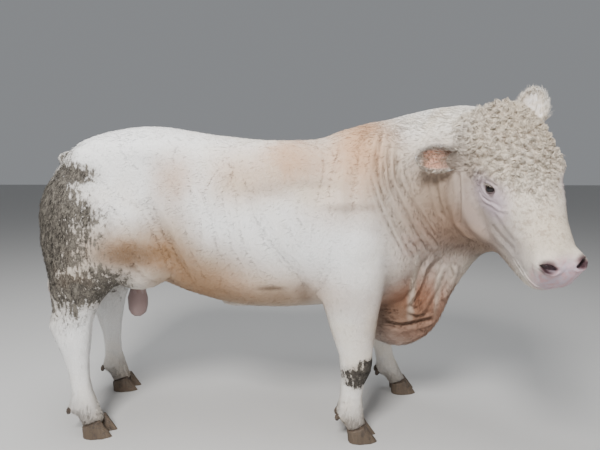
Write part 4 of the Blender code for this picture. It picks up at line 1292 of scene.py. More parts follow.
@dataclass
class Eye:
    """One eye with its lids and lashes.

    Args:
        side: the side of the head that it is on.
        long: half the length of the open lids.
        high: half their height.
        lashes: how many lashes the upper lid has.
        steps: how many times the lids' section is set round the eye.
        profile: that section, from the slit outwards: how far out, as a share of the slit, and how far up.
    """

    side: Side
    long: float = 0.0232
    high: float = 0.0142
    lashes: int = 34
    steps: int = 56
    profile: tuple[tuple[float, float], ...] = (
        (0.9, -0.001), (1.0, 0.0012), (1.1, 0.003), (1.24, 0.004), (1.4, 0.0032),
        (1.56, 0.0036), (1.74, 0.0026), (1.98, 0.0012), (2.25, -0.003),
    )

    def __post_init__(self) -> None:
        """Works out the eye's own axes: x along the slit towards the muzzle, y out of the head."""
        axes = placed(EYE, ((-22, "Z"), (16, "X"), (-26, "Y")))
        if self.side is Side.RIGHT:
            axes = Matrix.Diagonal((1, -1, 1, 1)) @ axes
        self.socket = HEAD @ axes @ Matrix.Scale(1 / HEAD_SCALE, 4)
        self.word = self.side.name.lower()

    def hollow(self, points: Rows) -> Rows:
        """Sinks the eye's socket into the skin.

        Args:
            points: the skin's vertices.

        Returns:
            The vertices, moved.
        """
        local = carry(points, self.socket.inverted())
        away = np.sqrt((local[:, 0] / 0.027) ** 2 + (local[:, 2] / 0.018) ** 2)
        sunk = step(away, 1.25, 0.85) * (local[:, 1] > -0.01) * (local[:, 1] < 0.05)
        local[:, 1] -= sunk * np.maximum(local[:, 1] - 0.01, 0.0)
        touched = sunk > 0
        points[touched] = carry(local[touched], self.socket)
        return points

    def build(self, skin: Piece) -> list[Piece]:
        """Makes the eye, with its lids and lashes.

        Args:
            skin: the skin, which the lids run out into.

        Returns:
            The pieces.
        """
        ball, lids, fringe = self.ball(), self.lids(tree_of(skin)), self.fringe()
        dress(ball, "eye", self.eye_finish(), f"eye_{self.word}")
        dress(lids, "coat_head", skin.data.materials[0])
        dress(fringe, "hair", self.lash_finish())
        return [ball, lids, fringe]

    def ball(self) -> Piece:
        """An eyeball with a bulging cornea.

        Returns:
            The eyeball.
        """
        deselect()
        bpy.ops.mesh.primitive_uv_sphere_add(segments=48, ring_count=32, radius=EYE_RADIUS)
        obj = bpy.context.view_layer.objects.active
        obj.name = f"eyeball_{self.word}"
        points = points_of(obj)[:, (0, 2, 1)] * (1, 1, -1)
        front = step(points[:, 1] / EYE_RADIUS, 0.72, 1.0)
        points *= (1 + 0.07 * front)[:, None]
        gaze = np.stack([points[:, 0] / 0.01, points[:, 2] / 0.0062], 1)
        pupil = np.abs(gaze[:, 0]) ** 2.6 + np.abs(gaze[:, 1]) ** 2.6
        limbus = norm(points[:, (0, 2)], axis=1) / EYE_RADIUS
        move_points(obj, carry(points, self.socket))
        mark_points(obj, pupil=pupil, limbus=limbus + 2.0 * (points[:, 1] < 0))
        edit_whole(bpy.ops.mesh.normals_make_consistent, inside=False)
        round_off(obj)
        return obj

    def lids(self, tree: BVHTree) -> Piece:
        """The two lids, one ring round the eye that rolls over its edge and runs out under the skin.

        Args:
            tree: the skin.

        Returns:
            The lids.
        """
        socket = self.socket
        inverse = socket.inverted()
        mesh = bmesh.new()
        loops = []
        for k in range(self.steps):
            angle = 2 * pi * k / self.steps
            tight = 1 - 0.28 * cos(angle) ** 4
            high = self.high * (1.0 if sin(angle) > 0 else 0.86) * tight
            loop = []
            for grow, rise in self.profile:
                x = self.long * grow * cos(angle)
                z = high * (grow + 0.35 * (grow - 0.9)) * sin(angle) + 0.0012
                ball = sqrt(max(EYE_RADIUS**2 - x * x - z * z, (0.25 * EYE_RADIUS) ** 2))
                start = socket @ Vector((x, 0.06, z))
                ray = (socket @ Vector((x, 0.0, z)) - start).normalized()
                hit = tree.ray_cast(start, ray)[0]
                skin_y = (inverse @ hit).y if hit is not None else ball
                share = min(1.0, max(0.0, (grow - 1.15) / 0.8))
                share = share * share * (3 - 2 * share)
                y = ball * (1 - share) + max(skin_y, ball * (1 - share)) * share + rise
                loop.append(mesh.verts.new(socket @ Vector((x, y, z))))
            loops.append(loop)
        for one, two in zip(loops, loops[1:] + loops[:1]):
            for m in range(len(self.profile) - 1):
                mesh.faces.new((one[m], one[m + 1], two[m + 1], two[m]))
        bmesh.ops.recalc_face_normals(mesh, faces=mesh.faces)
        out = sum((face.normal for face in mesh.faces), Vector())
        if out.dot(socket.to_3x3() @ Vector((0, 1, 0))) < 0:
            bmesh.ops.reverse_faces(mesh, faces=mesh.faces)
        obj = link_mesh(f"eyelids_{self.word}", mesh)
        apply(obj, "SOLIDIFY", thickness=0.0008, offset=-1.0)
        apply(obj, "SUBSURF", levels=1, render_levels=1)
        round_off(obj)
        return obj

    def fringe(self) -> Piece:
        """The pale lashes of the upper lid.

        Returns:
            The lashes.
        """
        rng = np.random.default_rng(SEED + self.side.value)
        paths = []
        for share in np.linspace(0.1, 0.9, self.lashes):
            angle = pi * share
            x = self.long * 1.06 * cos(angle)
            z = self.high * 1.12 * sin(angle) + 0.001
            y = sqrt(max(EYE_RADIUS**2 - x * x - z * z, 0.0)) + 0.003
            reach = 0.014 + 0.005 * rng.random()
            fan = 0.5 * cos(angle) + 0.1 * rng.normal()
            row = [
                (x + fan * reach * far, y + reach * far * 0.9, z + reach * (0.25 * far - 0.35 * far * far))
                for far in (0.0, 0.35, 0.7, 1.0)
            ]
            paths.append([tuple(self.socket @ Vector(p)) for p in row])
        up = (HEAD.to_3x3() @ Vector((0, 0, 1))).normalized()
        normals = np.tile(np.array(up), (len(paths), 1))
        widths = np.tile(np.array([0.00042, 0.00036, 0.00024]), (len(paths), 1))
        return strands(f"lashes_{self.word}", np.array(paths), normals, widths, None)

    @staticmethod
    @cache
    def eye_finish() -> Finish:
        """A wet, very dark brown eye with a long pupil, the same for both eyes.

        Returns:
            The material.
        """
        dye = Dye("wet_eye")
        pupil, limbus = dye.mark("pupil"), dye.mark("limbus")
        streak = dye.noise(dye.place, 700.0, 2.0, 0.6)
        iris = dye.mix(streak, (0.004, 0.0025, 0.002), (0.012, 0.006, 0.004))
        colour = dye.mix(pupil.step(0.9, 1.1), (0.002, 0.002, 0.004), iris)
        colour = dye.mix(limbus.step(0.7, 0.8), colour, (0.012, 0.008, 0.007))
        colour = dye.mix(limbus.step(0.9, 1.05), colour, (0.42, 0.33, 0.29))
        return dye.finish(Base_Color=colour, Roughness=0.05, Specular_IOR_Level=0.3, Coat_Weight=0.3,
                          Coat_Roughness=0.02)

    @staticmethod
    @cache
    def lash_finish() -> Finish:
        """Pale, slightly glossy lashes, the same for both eyes.

        Returns:
            The material.
        """
        dye = Dye("lash_hair")
        tone = dye.noise(dye.place, 300.0)
        return dye.finish(Base_Color=dye.mix(tone, (0.55, 0.47, 0.38), (0.7, 0.64, 0.55)), Roughness=0.5)


# The coat


def strands(name: str, paths: Rows, normals: Rows, widths: Rows, roots: Optional[Rows]) -> Piece:
    """Many closed three-sided tufts, each tapering along its own path to a point.

    Args:
        name: the piece's name.
        paths: for each tuft its points, from root to tip.
        normals: for each tuft the way that its top faces.
        widths: for each tuft its half width at each point but the tip.
        roots: for each tuft its root's place on the skin's unwrap, or None for no map.

    Returns:
        The piece.
    """
    count, length = paths.shape[:2]
    rings = length - 1
    ahead = unit(np.gradient(paths, axis=1))
    across = unit(np.cross(ahead, normals[:, None, :]))
    top = np.cross(across, ahead)
    width = widths[:, :, None]
    middle, across, top = paths[:, :rings], across[:, :rings], top[:, :rings]
    left = middle - across * width - top * width * 0.22
    right = middle + across * width - top * width * 0.22
    ridge = middle + top * width * 0.55
    body = np.stack([left, right, ridge], 2).reshape(count, rings * 3, 3)
    verts = np.concatenate([body, paths[:, -1:]], 1)
    faces = [(0, 2, 1)]
    for ring in range(rings - 1):
        for side in range(3):
            a, b = 3 * ring + side, 3 * ring + (side + 1) % 3
            faces += [(a, b, b + 3), (a, b + 3, a + 3)]
    last, tip = 3 * (rings - 1), 3 * rings
    faces += [(last + side, last + (side + 1) % 3, tip) for side in range(3)]
    each = tip + 1
    triangles = (np.array(faces)[None] + each * np.arange(count)[:, None, None]).reshape(-1)
    mesh = bpy.data.meshes.new(name)
    mesh.vertices.add(count * each)
    mesh.vertices.foreach_set("co", verts.astype(np.float32).ravel())
    mesh.loops.add(len(triangles))
    mesh.loops.foreach_set("vertex_index", triangles.astype(np.int32))
    mesh.polygons.add(len(triangles) // 3)
    mesh.polygons.foreach_set("loop_start", np.arange(0, len(triangles), 3, dtype=np.int32))
    mesh.polygons.foreach_set("use_smooth", np.ones(len(triangles) // 3, bool))
    mesh.update(calc_edges=True)
    if roots is not None:
        u = np.tile(np.array([0.0, 1.0, 0.5]), rings)
        v = np.repeat(np.linspace(0, 0.8, rings), 3)
        spread = np.stack([np.append(u, 0.5), np.append(v, 1.0)], 1) - 0.5
        flat = roots[:, None, :] + spread[None] * COAT_PATCH
        layer = mesh.uv_layers.new(name=COAT_MAP)
        layer.data.foreach_set("uv", flat.reshape(-1, 2)[triangles].astype(np.float32).ravel())
    return link(name, mesh)


def plant(name: str, paths: Rows, roots: "Roots", widths: Rows, material: Finish, slot: str) -> list[Piece]:
    """Makes pieces of tufts that ride on the body, each below the largest size.

    Args:
        name: the pieces' name, to which a number is added where there are several.
        paths: the tufts' points.
        roots: where they grow.
        widths: their half widths.
        material: their finish.
        slot: the name of a material slot.

    Returns:
        The pieces.
    """
    each = 6 * (paths.shape[1] - 2) + 4
    chunks = max(1, ceil(len(paths) * each / LARGEST_PIECE))
    order = np.argsort(paths[:, 0, 0], kind="stable")
    pieces = []
    for number, chosen in enumerate(np.array_split(order, chunks), 1):
        word = f"{name}_{number}" if chunks > 1 else name
        piece = strands(word, paths[chosen], roots.normals[chosen], widths[chosen], roots.flat[chosen])
        dress(piece, slot, material)
        pieces.append(piece)
    LOG.info("%s: %d tufts, %d triangles", name, len(paths), len(paths) * each)
    return pieces


@dataclass
class Roots:
    """Places on the skin that tufts grow from.

    Args:
        points: the places.
        normals: the way that the skin faces there.
        flat: the places on the skin's unwrap.
        parts: the part of the body that each is on.
    """

    points: Rows
    normals: Rows
    flat: Rows
    parts: Rows

    def chosen(self, mask: Rows) -> "Roots":
        """The roots where the mask is set."""
        return Roots(self.points[mask], self.normals[mask], self.flat[mask], self.parts[mask])

    def on(self, *names: str) -> Rows:
        """Which roots are on one of the named nodes."""
        return np.isin(self.parts, [PART_NUMBER[name] for name in names])

    def __len__(self) -> int:
        """How many roots there are."""
        return len(self.points)


class Scalp:
    """Draws roots from the skin, evenly over its area."""

    def __init__(self, skin: Piece, parted: bool = True) -> None:
        """Reads a skin's triangles.

        Args:
            skin: the skin, cut into triangles and unwrapped.
            parted: whether each triangle is told which part of the solids lies nearest to it.
        """
        mesh = skin.data
        corners = np.empty(len(mesh.loops), np.int32)
        mesh.loops.foreach_get("vertex_index", corners)
        self.corners = corners.reshape(-1, 3)
        points, normals = points_of(skin), normals_of(skin)
        self.tri_points = points[self.corners]
        self.tri_normals = normals[self.corners]
        self.tri_flat = rows_of(mesh.uv_layers[COAT_MAP].data, "uv", 2).reshape(-1, 3, 2)
        sides = self.tri_points[:, 1:] - self.tri_points[:, :1]
        self.area = norm(np.cross(sides[:, 0], sides[:, 1]), axis=1) / 2
        self.tri_parts = self.parts(self.tri_points.mean(1)) if parted else np.zeros(len(self.corners), int)
        self.rng = np.random.default_rng(SEED)

    @staticmethod
    def parts(points: Rows) -> Rows:
        """Which part each point is nearest to, by its number in PART_NUMBER.

        Args:
            points: the points.

        Returns:
            A number for each point.
        """
        verts: list[Vector] = []
        faces: list[tuple[int, ...]] = []
        owner: list[int] = []
        for name, number in PART_NUMBER.items():
            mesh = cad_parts[name].data
            start = len(verts)
            verts += [vert.co.copy() for vert in mesh.vertices]
            for face in mesh.polygons:
                faces.append(tuple(start + i for i in face.vertices))
                owner.append(number)
        tree = BVHTree.FromPolygons(verts, faces)
        return np.array([owner[tree.find_nearest(Vector(p))[2]] for p in points])

    def draw(self, density: Rows) -> Roots:
        """Draws roots at random.

        Args:
            density: how many roots each triangle gets per square metre.

        Returns:
            The roots.
        """
        share = self.area * density
        total = int(share.sum())
        picked = self.rng.choice(len(share), total, p=share / share.sum())
        a, b = self.rng.random(total), self.rng.random(total)
        over = a + b > 1
        a[over], b[over] = 1 - a[over], 1 - b[over]
        weights = np.stack([1 - a - b, a, b], 1)[:, :, None]
        points = (self.tri_points[picked] * weights).sum(1)
        normals = unit((self.tri_normals[picked] * weights).sum(1))
        flat = (self.tri_flat[picked] * weights).sum(1)
        return Roots(points, normals, flat, self.tri_parts[picked])


class Lie:
    """The way that the coat lies at each place."""

    def __init__(self, rng: np.random.Generator) -> None:
        """Keeps the random source."""
        self.rng = rng

    def directions(self, roots: Roots, scatter: float = 0.16) -> Rows:
        """The lie at each root, along the skin.

        Args:
            roots: the roots.
            scatter: how far single tufts stray, in radians.

        Returns:
            Unit directions in the skin's plane.
        """
        points = roots.points - np.array(SHIFT)
        x, y, z = points.T
        way = np.tile(np.array([-0.93, 0.0, -0.36]), (len(points), 1))
        rump = step(x, -0.5, -0.75)[:, None]
        way = way * (1 - rump) + np.array([-0.35, 0.0, -0.94]) * rump
        belly = step(z, 0.8, 0.62)[:, None]
        way = way * (1 - belly) + np.array([-1.0, 0.0, 0.0]) * belly
        neck = roots.on("neck")
        way[neck] = self.neck_way(points[neck])
        legs = roots.on(*LEGS)
        way[legs] = (-0.16, 0.0, -0.98)
        way[roots.on("tail")] = (-0.05, -0.1, -1.0)
        way[roots.on("scrotum")] = (0.0, 0.0, -1.0)
        head = roots.on("head")
        way[head] = self.head_way(roots.points[head])
        way = unit(way - (way * roots.normals).sum(1, keepdims=True) * roots.normals)
        swirl = 0.2 * np.sin(x * 9 + 2.0 * np.sin(z * 5 + 1)) * np.sin(z * 8 + y * 4)
        swirl += scatter * self.rng.normal(size=len(points))
        side = np.cross(roots.normals, way)
        return way * np.cos(swirl)[:, None] + side * np.sin(swirl)[:, None]

    @staticmethod
    def neck_way(points: Rows) -> Rows:
        """Back along the neck's path and down.

        Args:
            points: the roots, in the drawing's coordinates.

        Returns:
            A direction for each root.
        """
        a, b, c, d = (np.array(p) for p in NECK_PATH)
        shares = np.linspace(0, 1, 40)[:, None]
        rest = 1 - shares
        path = a * rest**3 + b * 3 * rest**2 * shares + c * 3 * rest * shares**2 + d * shares**3
        heading = unit(np.gradient(path, axis=0))
        nearest = np.argmin(norm(points[:, None, :2] - path[None], axis=2), axis=1)
        back = -heading[nearest]
        low = step(points[:, 2], 1.38, 1.15)[:, None]
        way = np.concatenate([back * (1 - 0.72 * low), -0.1 - 1.0 * low], 1)
        far = step(nearest.astype(float), 2, 14)[:, None]
        return way * far + np.array([-0.93, 0.0, -0.36]) * (1 - far)

    @staticmethod
    def head_way(points: Rows) -> Rows:
        """Out from a whorl on the forehead, and back along the cheeks.

        Args:
            points: the roots.

        Returns:
            A direction for each root.
        """
        local = in_head(points)
        cheek = step(local[:, 2], -0.06, -0.16)[:, None]
        way = unit((local - (0.17, 0.0, -0.1)) * (1, 1, 0.4))
        way = way * (1 - cheek) + np.array([-0.55, 0.0, -0.8]) * cheek
        return way @ np.array(HEAD.to_3x3()).T


@dataclass(frozen=True)
class Fleece:
    """One kind of hair: how thick it grows and the size of its tufts.

    Args:
        density: tufts per square metre.
        length: a tuft's length.
        width: its half width at the root.
        lift: how far its middle stands off the skin, as a share of its length.
        tip: how far its tip does.
        bends: how many points it has between root and tip.
    """

    density: float
    length: float
    width: float
    lift: float
    tip: float
    bends: int = 0

    def comb(
        self, roots: Roots, way: Rows, rng: np.random.Generator, tree: Optional[BVHTree] = None
    ) -> tuple[Rows, Rows]:
        """Lays a tuft at each root.

        Args:
            roots: where they grow.
            way: the way that each lies.
            rng: the random source.
            tree: the skin that they follow, or None where they run straight.

        Returns:
            The tufts' paths and half widths.
        """
        size = rng.uniform(0.75, 1.25, len(roots))
        shares = np.linspace(0, 1, self.bends + 2)
        lifts = np.interp(shares, (0.0, 0.5, 1.0), (0.0, self.lift, self.tip))
        length = (self.length * size)[:, None, None]
        stray = 1 + 0.35 * rng.normal(size=(len(roots), 1))
        paths = roots.points[:, None, :] + way[:, None, :] * shares[None, :, None] * length
        rise = np.maximum((lifts[None] * stray)[:, :, None] * length, 0.0002)
        facing = np.repeat(roots.normals[:, None, :], len(shares), 1)
        if tree is not None:
            for k in range(1, len(shares)):
                found = [tree.find_nearest(Vector(point)) for point in paths[:, k]]
                paths[:, k] = [tuple(hit[0]) for hit in found]
                facing[:, k] = [tuple(hit[1]) for hit in found]
        paths = paths + facing * rise
        paths[:, 0] = roots.points - roots.normals * 0.0012
        taper = np.interp(shares[:-1], (0.0, 0.4, 1.0), (0.85, 1.0, 0.5))
        return paths, self.width * taper[None] * size[:, None]


class Hair(Enum):
    """The kinds of hair on the body."""

    FLAT = Fleece(30000, 0.019, 0.00088, 0.0, 0.03)
    BACK = Fleece(5000, 0.022, 0.0009, 0.07, 0.09, 1)
    NECK = Fleece(32000, 0.022, 0.00092, 0.0, 0.042)
    CREST = Fleece(19000, 0.026, 0.00095, 0.1, 0.12, 1)
    FRILL = Fleece(20000, 0.024, 0.00095, 0.12, 0.18, 1)
    FACE = Fleece(60000, 0.01, 0.00062, 0.0, 0.08)
    BROW = Fleece(34000, 0.016, 0.0008, 0.18, 0.24, 1)
    LEGS = Fleece(28000, 0.014, 0.00085, 0.0, 0.045)
    FETLOCKS = Fleece(28000, 0.024, 0.0009, 0.12, 0.14, 1)
    DOCK = Fleece(60000, 0.028, 0.001, 0.12, 0.16, 1)
    EAR_ROOTS = Fleece(52000, 0.03, 0.00075, 0.16, 0.22, 1)


class Coat:
    """All the hair of the body, head and legs."""

    def __init__(self, skin: Piece, material: Finish) -> None:
        """Reads the skin.

        Args:
            skin: the skin.
            material: the coat's finish.
        """
        self.scalp = Scalp(skin)
        self.tree = tree_of(skin)
        self.rng = self.scalp.rng
        self.lie = Lie(self.rng)
        self.material = material
        self.middles = self.scalp.tri_points.mean(1)
        self.local = self.middles - np.array(SHIFT)
        self.head = in_head(self.middles)
        self.normals = self.scalp.tri_normals.mean(1)
        self.part = Roots(self.middles, self.normals, self.middles[:, :2], self.scalp.tri_parts)
        self.pieces: list[Piece] = []

    def on(self, *names: str) -> Rows:
        """1 for the triangles on one of the named nodes, 0 for the others."""
        return self.part.on(*names).astype(float)

    def bare(self) -> Rows:
        """How bare of hair each triangle is: muzzle, nostrils, eyes and pouch.

        Returns:
            For each triangle 1 where it is bare and 0 where it isn't.
        """
        head = folded(self.head)
        muzzle = step(oval(head, (0.604, 0.0, -0.08), (0.052, 0.088, 0.075)), 1.15, 0.95)
        hole = step(oval(head, (0.574, 0.057, -0.03), (0.036, 0.038, 0.03)), 1.15, 0.95)
        lids = step(oval(head, LIDS, (0.032, 0.04, 0.026)), 1.25, 0.95)
        return np.maximum.reduce([muzzle, hole, lids, 0.93 * self.on("scrotum")])

    def grow(self, hair: Hair, where: Rows, slot: str) -> None:
        """Grows one kind of hair, in pieces named after it.

        Args:
            hair: the kind.
            where: for each triangle of the skin a share of the kind's density.
            slot: the name of a material slot.
        """
        roots = self.scalp.draw(hair.value.density * where)
        paths, widths = hair.value.comb(roots, self.lie.directions(roots), self.rng, self.tree)
        self.pieces += plant(f"coat_{hair.name.lower()}", paths, roots, widths, self.material, slot)

    def build(self) -> list[Piece]:
        """Grows the whole coat.

        Returns:
            Its pieces.
        """
        hairy = 1 - self.bare()
        x, z, up = self.local[:, 0], self.local[:, 2], self.normals[:, 2]
        trunk, neck, face = self.on("torso"), self.on("neck"), self.on("head")
        legs, hind = self.on(*LEGS), self.on("hindleg_right", "hindleg_left")
        back = np.maximum(step(up, 0.72, 0.9), 0.8 * step(up, -0.55, -0.85))
        crest = neck * step(x, 0.42, 0.66) * (0.1 + 0.9 * step(up, 0.45, 0.75))
        frill = neck * step(z, 0.8, 0.62) + trunk * step(x, 0.4, 0.56) * step(z, 0.66, 0.56)
        frill = np.clip(frill, 0, 1) * (0.35 + 0.65 * step(up, -0.3, -0.7))
        brow = face * Curls.share(self.head)
        ears = [np.array(ear.root) * (1, ear.side.value, 1) for ear in EARS]
        to_ear = np.minimum(*(norm(self.head - root, axis=1) for root in ears))
        fetlock = legs * step(z, 0.17, 0.1) * step(z, 0.02, 0.07)
        rear = trunk * step(x, -0.66, -0.82) + hind * step(z, 0.42, 0.6) * step(x, -0.62, -0.8)
        for hair, where, slot in (
            (Hair.FLAT, trunk * hairy, "coat"),
            (Hair.BACK, trunk * hairy * (0.1 + 0.9 * back), "coat"),
            (Hair.NECK, neck * hairy, "coat"),
            (Hair.CREST, crest, "coat"),
            (Hair.FRILL, frill, "coat"),
            (Hair.FACE, face * hairy * (1 - 0.7 * brow), "coat_head"),
            (Hair.BROW, brow * hairy, "coat_head"),
            (Hair.EAR_ROOTS, face * step(to_ear, 0.085, 0.045), "coat_head"),
            (Hair.LEGS, legs * hairy, "coat_legs"),
            (Hair.FETLOCKS, fetlock + 0.2 * np.clip(rear, 0, 1), "coat_legs"),
            (Hair.DOCK, self.on("tail"), "hair"),
        ):
            self.grow(hair, where, slot)
        return self.pieces


@dataclass
class Curls:
    """The curls of the poll and forehead: locks that coil round a middle and dome over it.

    Args:
        skin: the skin, which is raised to a low dome under each curl.
        spacing: about how far the curls' middles lie apart.
        candidates: how many places per square metre are tried for a middle.
        density: how many locks grow per square metre.
        dome: how high the skin is raised.
        bump: how wide its domes are.
        height: how high the locks rise over it.
        steps: how many points a lock has after its root.
        width: a lock's half width.
    """

    skin: Piece
    spacing: float = 0.024
    candidates: float = 12000.0
    density: float = 46000.0
    dome: float = 0.005
    bump: float = 0.0125
    height: float = 0.009
    steps: int = 5
    width: float = 0.00125

    def __post_init__(self) -> None:
        """Picks the middles of the curls and raises the skin under them."""
        skin = self.skin
        scalp = Scalp(skin, parted=False)
        where = self.share(in_head(scalp.tri_points.mean(1)))
        drawn_at = scalp.draw((where > 0.3) * self.candidates)
        kept: list[int] = []
        for k in range(len(drawn_at)):
            room = norm(drawn_at.points[kept] - drawn_at.points[k], axis=1)
            if not kept or room.min() > self.spacing * (0.78 + 0.5 * (k % 3 == 0)):
                kept.append(k)
        self.middles = drawn_at.chosen(np.array(kept))
        points, normals = points_of(skin), normals_of(skin)
        near = np.nonzero(self.share(in_head(points)) > 0.05)[0]
        away = norm(points[near, None] - self.middles.points[None], axis=2)
        tall = self.share(in_head(self.middles.points))[None]
        points[near] += normals[near] * (self.dome * (bell(away, self.bump) * tall).max(1))[:, None]
        move_points(skin, points)

    @staticmethod
    def share(head: Rows) -> Rows:
        """How much places in the head's axes belong to the curls: 1 on the poll, less down the forehead.

        Args:
            head: the places.

        Returns:
            A share for each place.
        """
        side = np.abs(head[:, 1])
        front = 0.41 - 1.25 * np.maximum(side - 0.035, 0.0)
        share = step(head[:, 0], front, front - 0.17) * step(head[:, 0], -0.16, -0.08)
        return share * step(head[:, 2], -0.115, -0.05) * step(side, 0.185, 0.15)

    def build(self, material: Finish) -> list[Piece]:
        """Makes the locks.

        Args:
            material: the hair's finish.

        Returns:
            The pieces.
        """
        scalp = Scalp(self.skin, parted=False)
        head = in_head(scalp.tri_points.mean(1))
        clear = step(oval(folded(head), LIDS, (0.04, 0.05, 0.034)), 0.9, 1.25)
        roots = scalp.draw(self.share(head) ** 1.3 * clear * self.density)
        away = norm(roots.points[:, None] - self.middles.points[None], axis=2)
        paths, widths = self.coil(roots, np.argmin(away, axis=1), scalp.rng)
        return plant("curls", paths, roots, widths, material, "coat_head")

    def coil(self, roots: Roots, own: Rows, rng: np.random.Generator) -> tuple[Rows, Rows]:
        """The locks' paths and widths.

        Args:
            roots: where the locks grow.
            own: for each root the number of its middle.
            rng: the random source.

        Returns:
            Paths and half widths.
        """
        count = len(self.middles)
        normal = self.middles.normals[own]
        lean = 0.3 * rng.normal(size=(count, 3))[own] + 0.14 * rng.normal(size=(len(roots), 3))
        spin = np.where(rng.random(count) < 0.5, -1.0, 1.0)[own]
        whole = rng.uniform(1.2, 3.0, count)[own] + 0.45 * rng.normal(size=len(roots))
        full = self.share(in_head(self.middles.points)) ** 0.5
        tall = (self.height * rng.uniform(0.75, 1.3, count) * full)[own]
        out = roots.points - self.middles.points[own]
        base = (out * normal).sum(1)
        out -= base[:, None] * normal
        radius = norm(out, axis=1)
        out /= radius[:, None] + 1e-9
        side = np.cross(normal, out)
        reach = self.spacing * 0.62
        shares = np.linspace(0, 1, self.steps + 1)[None]
        radius = np.minimum(radius, reach * 1.25)
        far = radius[:, None] * (1 - 0.72 * shares)
        turn = (spin * whole)[:, None] * shares**0.85
        dome = self.dome * (1 - bell(radius[:, None], self.bump)) * shares
        rise = tall[:, None] * np.sin(shares * pi * 0.76) * (1 - 0.35 * (far / reach) ** 2) + dome
        rise = rise * np.clip(1 + 0.28 * rng.normal(size=(len(roots), 1)), 0.3, 1.7)
        foot = (normal * base[:, None])[:, None] * (1 - shares[..., None])
        centre = self.middles.points[own][:, None] + foot
        paths = centre + (
            out[:, None] * (np.cos(turn) * far)[:, :, None]
            + side[:, None] * (np.sin(turn) * far)[:, :, None]
            + (normal[:, None] + lean[:, None] * shares[..., None]) * rise[:, :, None]
        )
        paths[:, 0] = roots.points - roots.normals * 0.002
        taper = np.array([0.8, 1.0, 1.0, 0.85, 0.6])
        return paths, self.width * taper[None] * rng.uniform(0.7, 1.25, (len(roots), 1))


# Ears, hooves and tail

EAR_LENGTH, EAR_WIDTH = 0.195, 0.14


